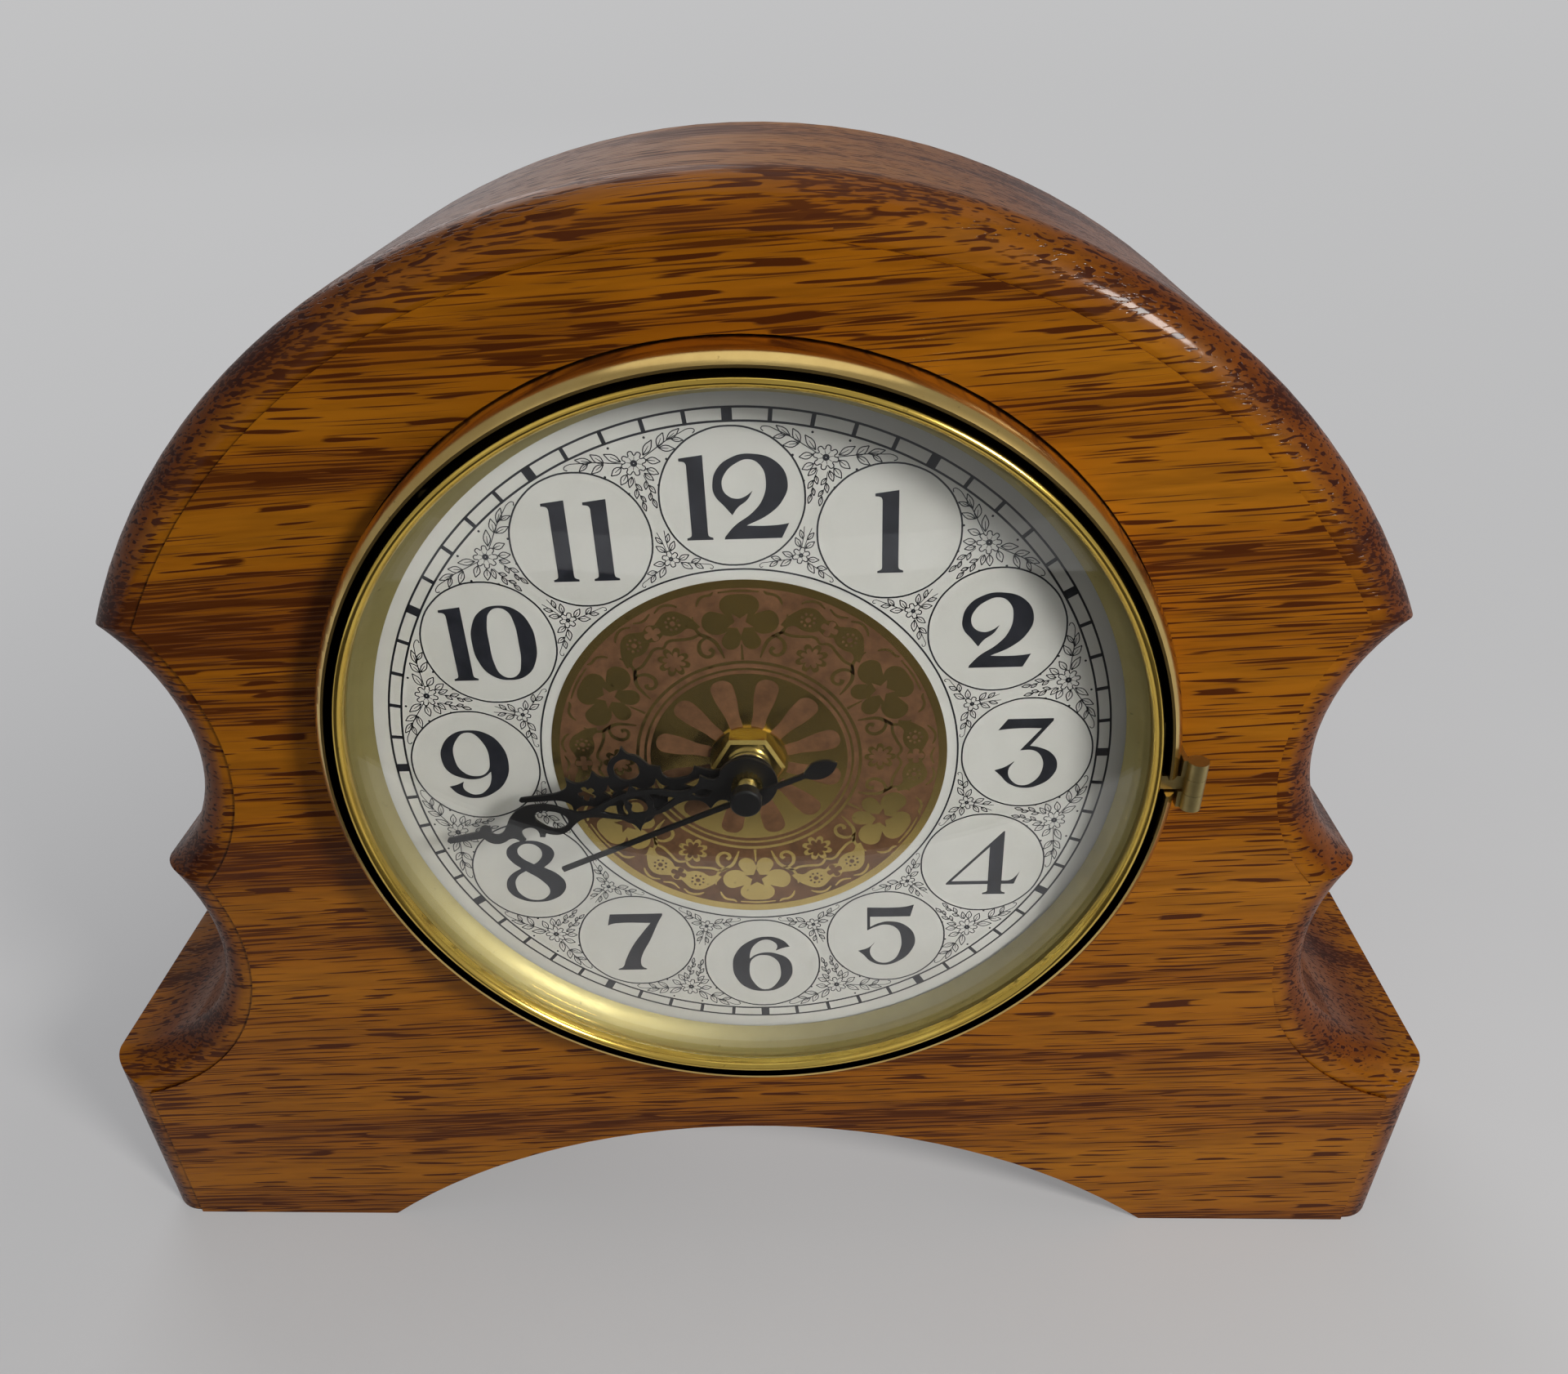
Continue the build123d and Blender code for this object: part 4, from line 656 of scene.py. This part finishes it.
petal = [(0, 4.9), (0.75, 5.6), (1.15, 8.5), (1.75, 12.4), (1.5, 14.2), (0, 14.9)]
petal_holes = []
for step in range(12):
    turn = math.radians(15 + 30 * step)
    petal_holes.append([(x * math.cos(turn) + y * math.sin(turn), y * math.cos(turn) - x * math.sin(turn))
                        for x, y in mirrored(petal)])
rosette_disc = filled("rosette_disc", [dot(0, 0, rosette_radius, 48)] + petal_holes)
gilt_rim = filled("gilt_rim", [dot(0, 0, gilt_radius, 64), dot(0, 0, gilt_radius - 1.3, 64)])
gilt_rings = ribbons("gilt_rings", [circle_line((0, 0), 16.4, 0.2, 40), circle_line((0, 0), 17.6, 0.26, 40)])

blossom = mirrored([(0, 21.5, 1), (0.6, 20.2), (1.9, 19.8), (2.9, 20.8), (2.5, 22.2), (2.0, 22.8, 1),
                    (3.4, 22.3), (5.1, 22.9), (5.7, 24.6), (4.7, 26.1), (3.0, 25.9), (2.2, 25.6, 1),
                    (2.9, 26.8), (2.4, 28.3), (0, 28.9)])
blossom_star = []
for step in range(10):
    radius = 2.05 if step % 2 == 0 else 0.85
    turn = math.radians(180 + 36 * step)
    blossom_star.append((radius * math.sin(turn), blossom_ring + radius * math.cos(turn), 1))
blossoms = filled("blossoms", [blossom, blossom_star])
axis_lines = both_sides([
    ([(4.5, 22.0, 0.10), (5.8, 21.5, 0.24), (6.4, 20.2, 0.32), (5.9, 18.9, 0.30), (4.8, 18.7, 0.26),
      (4.3, 19.5, 0.30), (4.8, 20.0, 0.36)], False),
    ([(2.7, 18.3, 0.10), (3.3, 19.9, 0.26), (4.1, 21.3, 0.30), (6.2, 22.6, 0.26), (6.9, 24.1, 0.20),
      (7.0, 25.4, 0.10)], False),
    ([(6.3, 27.0, 0.10), (6.0, 27.9, 0.22), (5.3, 28.6, 0.22), (4.1, 28.9, 0.22), (3.7, 29.3, 0.10)], False)])
axis_lines += [([(0, 18.0, 0.24), (0, 19.2, 0.16), (0, 20.6, 0.12)], False),
               ([(-3.0, 29.2, 0.12), (0, 29.45, 0.2), (3.0, 29.2, 0.12)], False)]
axis_scrolls = ribbons("axis_scrolls", axis_lines)

cell = mirrored([(0, 24.9), (1.2, 25.3, 1), (2.2, 24.5), (3.6, 24.2), (4.9, 24.3), (5.8, 23.4, 1),
                 (6.7, 23.5, 1), (6.4, 25.2), (5.6, 26.7), (4.9, 27.6), (3.4, 28.2), (1.9, 27.7),
                 (1.0, 27.3, 1), (0, 27.8)])
cell_holes = [rosette(0, cell_ring, 4, 1.35, 0.6)]
for middle in (-3.5, 3.5):
    cell_holes.append(dot(middle, cell_dot_ring, 0.42))
    for step in range(8):
        turn = math.radians(45 * step)
        cell_holes.append(dot(middle + math.sin(turn), cell_dot_ring + math.cos(turn), 0.2))
star_flower = [rosette(0, star_flower_ring, 8, 2.5, 1.6), rosette(0, star_flower_ring, 8, 1.75, 1.0)]
cells = filled("cells", [cell] + cell_holes + star_flower, smooth=3)
between_lines = both_sides([
    ([(0, 23.4, 0.2), (1.2, 24.0, 0.24), (2.9, 23.3, 0.24), (4.6, 22.6, 0.24), (6.0, 22.4, 0.22),
      (7.0, 21.2, 0.12)], False),
    ([(2.2, 28.9, 0.12), (3.6, 29.3, 0.22), (5.0, 28.7, 0.22), (5.6, 28.0, 0.12)], False)])
between_lines += [([(-1.5, 29.2, 0.12), (0, 28.7, 0.22), (1.5, 29.2, 0.12)], False)]
between_scrolls = ribbons("between_scrolls", between_lines)

sixths = [60 * step for step in range(6)]
foil_pieces = [rosette_disc, gilt_rim, gilt_rings, repeat_around(blossoms, sixths),
               repeat_around(axis_scrolls, sixths), repeat_around(cells, [30 + turn for turn in sixths]),
               repeat_around(between_scrolls, [30 + turn for turn in sixths])]
foil = merge("gilt_ornament", foil_pieces)
lay_on_dial(foil, dial_face - foil_lift, dial_lean)
dress(foil, "gilt_ornament", centre_foil, "case")

# Turned pieces: profiles of radius and distance ahead of the case's front, spun round the dial's axis

def bow(start, end, sag, count=10):
    """Points of an arc that bows to the left of its way by sag."""
    across, along = end[0] - start[0], end[1] - start[1]
    chord = math.hypot(across, along)
    radius = (chord**2 / 4 + sag**2) / (2 * sag)
    half_turn = math.asin(chord / (2 * radius))
    points = []
    for step in range(count + 1):
        turn = half_turn * (2 * step / count - 1)
        share = 0.5 + radius * math.sin(turn) / chord
        lift = radius * (math.cos(turn) - math.cos(half_turn)) / chord
        points.append((start[0] + share * across - lift * along, start[1] + share * along + lift * across))
    return points


def turned(name, profile, finish, node, steps=192):
    """A smooth ring or dome in place of its CAD node, spun from a closed profile."""
    outline = bpy.data.curves.new(name, "CURVE")
    outline.dimensions = "3D"
    spline = outline.splines.new("POLY")
    spline.use_cyclic_u = True
    spline.points.add(len(profile) - 1)
    for point, (radius, proud) in zip(spline.points, profile):
        point.co = (radius * mm, case_front - proud * mm, dial_centre_height, 1)
    piece = bpy.data.objects.new(name, outline)
    bpy.context.collection.objects.link(piece)
    select_only(piece)
    bpy.ops.object.convert(target="MESH")
    piece = bpy.context.object
    bpy.ops.object.mode_set(mode="EDIT")
    bpy.ops.mesh.select_all(action="SELECT")
    bpy.ops.mesh.spin(steps=steps, angle=2 * math.pi, center=(0, 0, dial_centre_height), axis=(0, 1, 0))
    bpy.ops.mesh.select_all(action="SELECT")
    bpy.ops.mesh.remove_doubles(threshold=0.000002)
    bpy.ops.mesh.normals_make_consistent(inside=False)
    bpy.ops.object.mode_set(mode="OBJECT")
    bpy.ops.object.shade_smooth_by_angle(angle=math.radians(40))
    dress(piece, name, finish, "bezel")
    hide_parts(node)


case_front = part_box("case_front_board")[0][1]
glass_radius, glass_edge, glass_rise, glass_thickness = 61.8, 5.2, 9.25, 1.8
glass_ball = (glass_radius**2 + glass_rise**2) / (2 * glass_rise)
bezel_outer, bezel_inner, bezel_lip = 62.9, 62.1, 61.2
bead_crest, bead_round = 7.4, 0.9
seat = 0.1


def dome_height(radius, ball):
    """How far a face of the glass stands ahead of the case at a radius, from its ball's radius."""
    return glass_edge + glass_rise - glass_ball + math.sqrt(ball**2 - radius**2)


glass_steps = [glass_radius * step / 28 for step in range(29)]
glass_profile = [(radius, dome_height(radius, glass_ball)) for radius in glass_steps]
inner_ball = glass_ball - glass_thickness
glass_profile += [(radius, dome_height(radius, inner_ball)) for radius in reversed(glass_steps)]
turned("glass_dome", glass_profile, finishes["bezel_glass"], "bezel_glass", 128)

cove_front = dome_height(glass_radius, inner_ball) - seat
bezel_back = cove_front - 2.1
lip_seat = dome_height(bezel_lip, glass_ball) + seat
wall_seat = dome_height(bezel_inner, glass_ball) + seat
crest_radius = bezel_outer - bead_round
bead = [(crest_radius + bead_round * math.cos(t), bead_crest - bead_round + bead_round * math.sin(t))
        for t in [math.pi / 2 * step / 6 for step in range(7)]]
bead += bow((bezel_lip, lip_seat + 0.6), (crest_radius, bead_crest), 0.25)[-2::-1]
bead += [(bezel_lip, lip_seat), (bezel_inner, wall_seat)]
bead += [(bezel_inner, bezel_back), (bezel_outer, bezel_back)]
turned("bezel_bead", bead, brass_polished, "bezel_ring")

cove_foot = (58.6, -1.1)
cove = bow((bezel_lip, cove_front), cove_foot, 0.5, 14)
cove += [(cove_foot[0] + 0.7, cove_foot[1]), (bezel_inner, bezel_back), (bezel_inner, cove_front)]
turned("glass_cove", cove, brass_satin, "glass_cove_ring")

# Pierced hour and minute hands, drawn pointing to twelve

hour_angle, minute_angle = 263.5, 257.2
hand_thickness, hand_edge = 0.5, 0.07
hour_half = [(0, -4.2), (2.97, -2.97), (4.2, 0), (3.3, 2.6), (2.2, 4.0, 1), (2.2, 5.2), (3.2, 7.9, 1),
             (1.9, 8.6), (1.35, 10.2), (1.5, 12.2), (2.3, 13.0, 1), (3.7, 13.1, 1), (4.1, 14.7, 1),
             (5.0, 15.3), (6.2, 16.4), (6.7, 17.6), (8.1, 18.4, 1), (6.7, 19.2), (5.9, 20.4), (4.4, 21.3),
             (2.7, 21.3, 1), (2.8, 22.5), (4.1, 23.8, 1), (2.7, 24.6), (2.2, 26.0), (2.3, 27.0),
             (3.4, 28.2, 1), (1.8, 28.3), (1.0, 29.3), (0.62, 30.6, 1), (0.42, 36.0, 1), (0, 36.3)]
hour_holes = [mirrored([(0, 5.4, 1), (0.95, 7.2), (0, 10.3, 1)]),
              mirrored([(0, 12.4, 1), (0.55, 13.5), (1.7, 14.1, 1), (0.55, 14.7), (0, 15.9, 1)]),
              mirrored([(0, 16.7, 1), (0.65, 18.3), (0, 19.9, 1)]),
              mirrored([(0, 20.4, 1), (0.5, 21.3), (1.7, 21.8, 1), (0.5, 22.3), (0, 23.2, 1)]),
              rosette(0, 25.4, 5, 1.45, 0.8)]
for side in (-1, 1):
    hour_holes.append([(side * (3.75 + 2.0 * math.sin(t)), 18.35 + 2.0 * math.cos(t))
                       for t in [math.pi * step / 5 for step in range(10)]])
hour_blade = filled("hour_blade", [mirrored(hour_half)] + hour_holes, hand_thickness, 4, hand_edge)

hub_left = [(0, -4.7), (-3.3, -3.3), (-4.7, 0), (-3.6, 3.1)]
hub_right = [(-x, y) for x, y in reversed(hub_left[1:])]
minute_left = [(-2.2, 3.9, 1), (-2.0, 5.0), (-3.2, 6.7, 1), (-1.6, 7.6), (-0.95, 9.4), (-1.2, 11.4),
               (-2.1, 13.6), (-2.55, 16.2), (-2.6, 17.0, 1), (-3.8, 17.8, 1), (-2.6, 18.6, 1), (-2.5, 19.6),
               (-1.7, 22.2), (-0.85, 24.6), (-0.65, 26.6)]
minute_loop = [(-1.3, 28.2), (-2.3, 29.6), (-2.75, 31.2), (-2.4, 32.7), (-2.0, 33.4, 1), (-2.7, 33.8, 1),
               (-2.5, 34.6, 1), (-1.4, 34.5), (-0.6, 35.0), (-0.35, 36.0), (-0.8, 37.0), (-1.7, 37.2),
               (-2.6, 37.0, 1), (-2.7, 37.9, 1), (-1.9, 38.6), (-1.8, 39.3), (-2.2, 40.4), (-2.3, 41.6),
               (-1.7, 42.8), (-0.7, 43.5, 1), (-0.5, 49.0, 1), (0, 49.3), (0.5, 49.0, 1), (0.6, 43.6, 1),
               (1.3, 43.2), (1.4, 42.2), (0.7, 41.7), (-0.2, 41.9, 1), (-0.6, 41.2), (-0.4, 40.2),
               (0.6, 39.2), (2.2, 37.9), (3.4, 35.9), (3.6, 33.6), (2.9, 30.8), (1.5, 28.6), (0.65, 26.6)]
minute_right = [(-x, *rest) for x, *rest in reversed(minute_left[:-1])]
minute_outline = hub_left + minute_left + minute_loop + minute_right + hub_right
minute_holes = [mirrored([(0, 5.6, 1), (0.8, 7.0), (0, 9.0, 1)]),
                mirrored([(0, 11.6, 1), (0.9, 13.4), (1.4, 15.2), (0, 15.0, 1)]),
                mirrored([(0, 16.2), (1.3, 16.5), (1.6, 17.8), (1.1, 18.9), (0, 18.5, 1)]),
                mirrored([(0, 19.7, 1), (1.5, 19.7), (1.0, 21.6), (0, 23.6, 1)]),
                [(-0.3, 29.2), (-1.3, 29.8), (-1.7, 31.2), (-1.2, 32.4), (-0.2, 33.4), (1.2, 34.1),
                 (2.2, 33.4), (2.0, 31.6), (1.0, 29.8)]]
minute_blade = filled("minute_blade", [minute_outline] + minute_holes, hand_thickness, 4, hand_edge)

for blade, node, turn, body in ((hour_blade, "hour_hand", hour_angle, "hour_work"),
                                (minute_blade, "minute_hand", minute_angle, "minute_work")):
    near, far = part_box(node)
    lay_on_dial(blade, (near[1] + far[1]) / 2, turn)
    select_only(blade)
    bpy.ops.object.shade_smooth_by_angle(angle=math.radians(35))
    dress(blade, node + "_pierced", hand_black, body)
    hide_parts(node)

# Floor, pale far away, and a dark card, seen only in reflections, that stands in for the shade in front of
# the clock

floor_size = 60
bpy.ops.object.select_all(action="DESELECT")
bpy.ops.mesh.primitive_plane_add(size=floor_size)
floor = bpy.context.object
floor.name = "floor"
pale = new_finish("floor_pale")
floor_tone = cloud(pale, object_place(pale), 9.0, 4.0)
set_shader(pale, Roughness=grey_ramp(pale, floor_tone, (0.3, 0.8), (0.7, 0.9)),
           Base_Color=ramp(pale, floor_tone, [(0.3, (0.70, 0.70, 0.71)), (0.7, (0.74, 0.74, 0.75))]))
far_away = put(pale, "ShaderNodeVectorMath", {0: object_place(pale)}, operation="LENGTH").outputs["Value"]
nearness = maths(pale, "DIVIDE", 1.0, far_away)
far_share = put(pale, "ShaderNodeMapRange", {"Value": nearness, "From Max": 6.0, "To Min": 1.0,
                                             "To Max": 0.42}).outputs[0]
seen = maths(pale, "LESS_THAN", put(pale, "ShaderNodeLightPath").outputs["Diffuse Depth"], 0.5)
glow = put(pale, "ShaderNodeEmission", {"Color": (0.54, 0.54, 0.545, 1), "Strength": 1.0})
floor_mix = put(pale, "ShaderNodeMixShader", {0: maths(pale, "MULTIPLY", seen, far_share),
                                              1: shader_of(pale).outputs[0], 2: glow.outputs[0]})
plug(pale, pale.node_tree.nodes["Material Output"].inputs["Surface"], floor_mix.outputs[0])
floor.data.materials.append(pale)

# Painted shade: a dark card on the floor in front of the clock, seen only by reflections, stands in for the
# shade there, so the gilt shows a dark reflection.
card_size, card_near_edge, card_lift = 1.6, -0.1455, 0.001
bpy.ops.object.select_all(action="DESELECT")
bpy.ops.mesh.primitive_plane_add(size=card_size, location=(0, card_near_edge - card_size / 2, card_lift))
painted_shade_card = bpy.context.object
painted_shade_card.name = "painted_shade_card"
bpy.ops.object.transform_apply(location=True)
dark = new_finish("card_painted_shade")
card_tone = cloud(dark, object_place(dark), 12.0, 3.0)
set_shader(dark, Roughness=0.9,
           Base_Color=ramp(dark, card_tone, [(0.3, (0.028, 0.024, 0.020)), (0.7, (0.040, 0.034, 0.028))]))
painted_shade_card.data.materials.append(dark)
painted_shade_card.visible_camera = False
painted_shade_card.visible_diffuse = False
painted_shade_card.visible_shadow = False

# Lamps, pale backdrop and camera

def lamp(name, place, target, size, power, colour=(1, 1, 1)):
    glow = bpy.data.lights.new(name, "AREA")
    glow.shape = "DISK"
    glow.size = size
    glow.energy = power
    glow.color = colour
    holder = bpy.data.objects.new(name, glow)
    bpy.context.collection.objects.link(holder)
    holder.location = place
    aim = Vector(target) - Vector(place)
    holder.rotation_euler = aim.to_track_quat("-Z", "Y").to_euler()


lamp("key_lamp", (0.51, -0.48, 0.51), (0, 0, 0.11), 0.17, 3.9, (1.0, 0.97, 0.93))
lamp("fill_lamp", (-1.2, -1.2, 1.3), (0, 0, 0.1), 1.4, 1.4, (0.94, 0.97, 1.0))
lamp("top_lamp", (0.05, 0.3, 2.0), (0, 0.1, 0), 2.0, 6.0, (0.98, 0.98, 1.0))
lamp("back_lamp", (-0.7, 1.5, 1.1), (0, 0, 0.1), 1.4, 9.0, (0.98, 0.98, 1.0))
room_light, backdrop_light, mirrored_share = 0.06, 0.50, 0.5
world = bpy.data.worlds.new("studio")
world.use_nodes = True
sky = world.node_tree.nodes["Background"].inputs
sky["Color"].default_value = (0.98, 0.98, 0.99, 1)
path = put(world, "ShaderNodeLightPath").outputs
dimmed = maths(world, "MULTIPLY", path["Is Glossy Ray"], mirrored_share)
straight = maths(world, "MULTIPLY", maths(world, "LESS_THAN", path["Diffuse Depth"], 0.5),
                 maths(world, "SUBTRACT", 1.0, dimmed))
backdrop = maths(world, "MULTIPLY", straight, backdrop_light)
plug(world, sky["Strength"], maths(world, "ADD", room_light, backdrop))
bpy.context.scene.world = world
place_camera()
bpy.context.scene.view_settings.view_transform = "Standard"
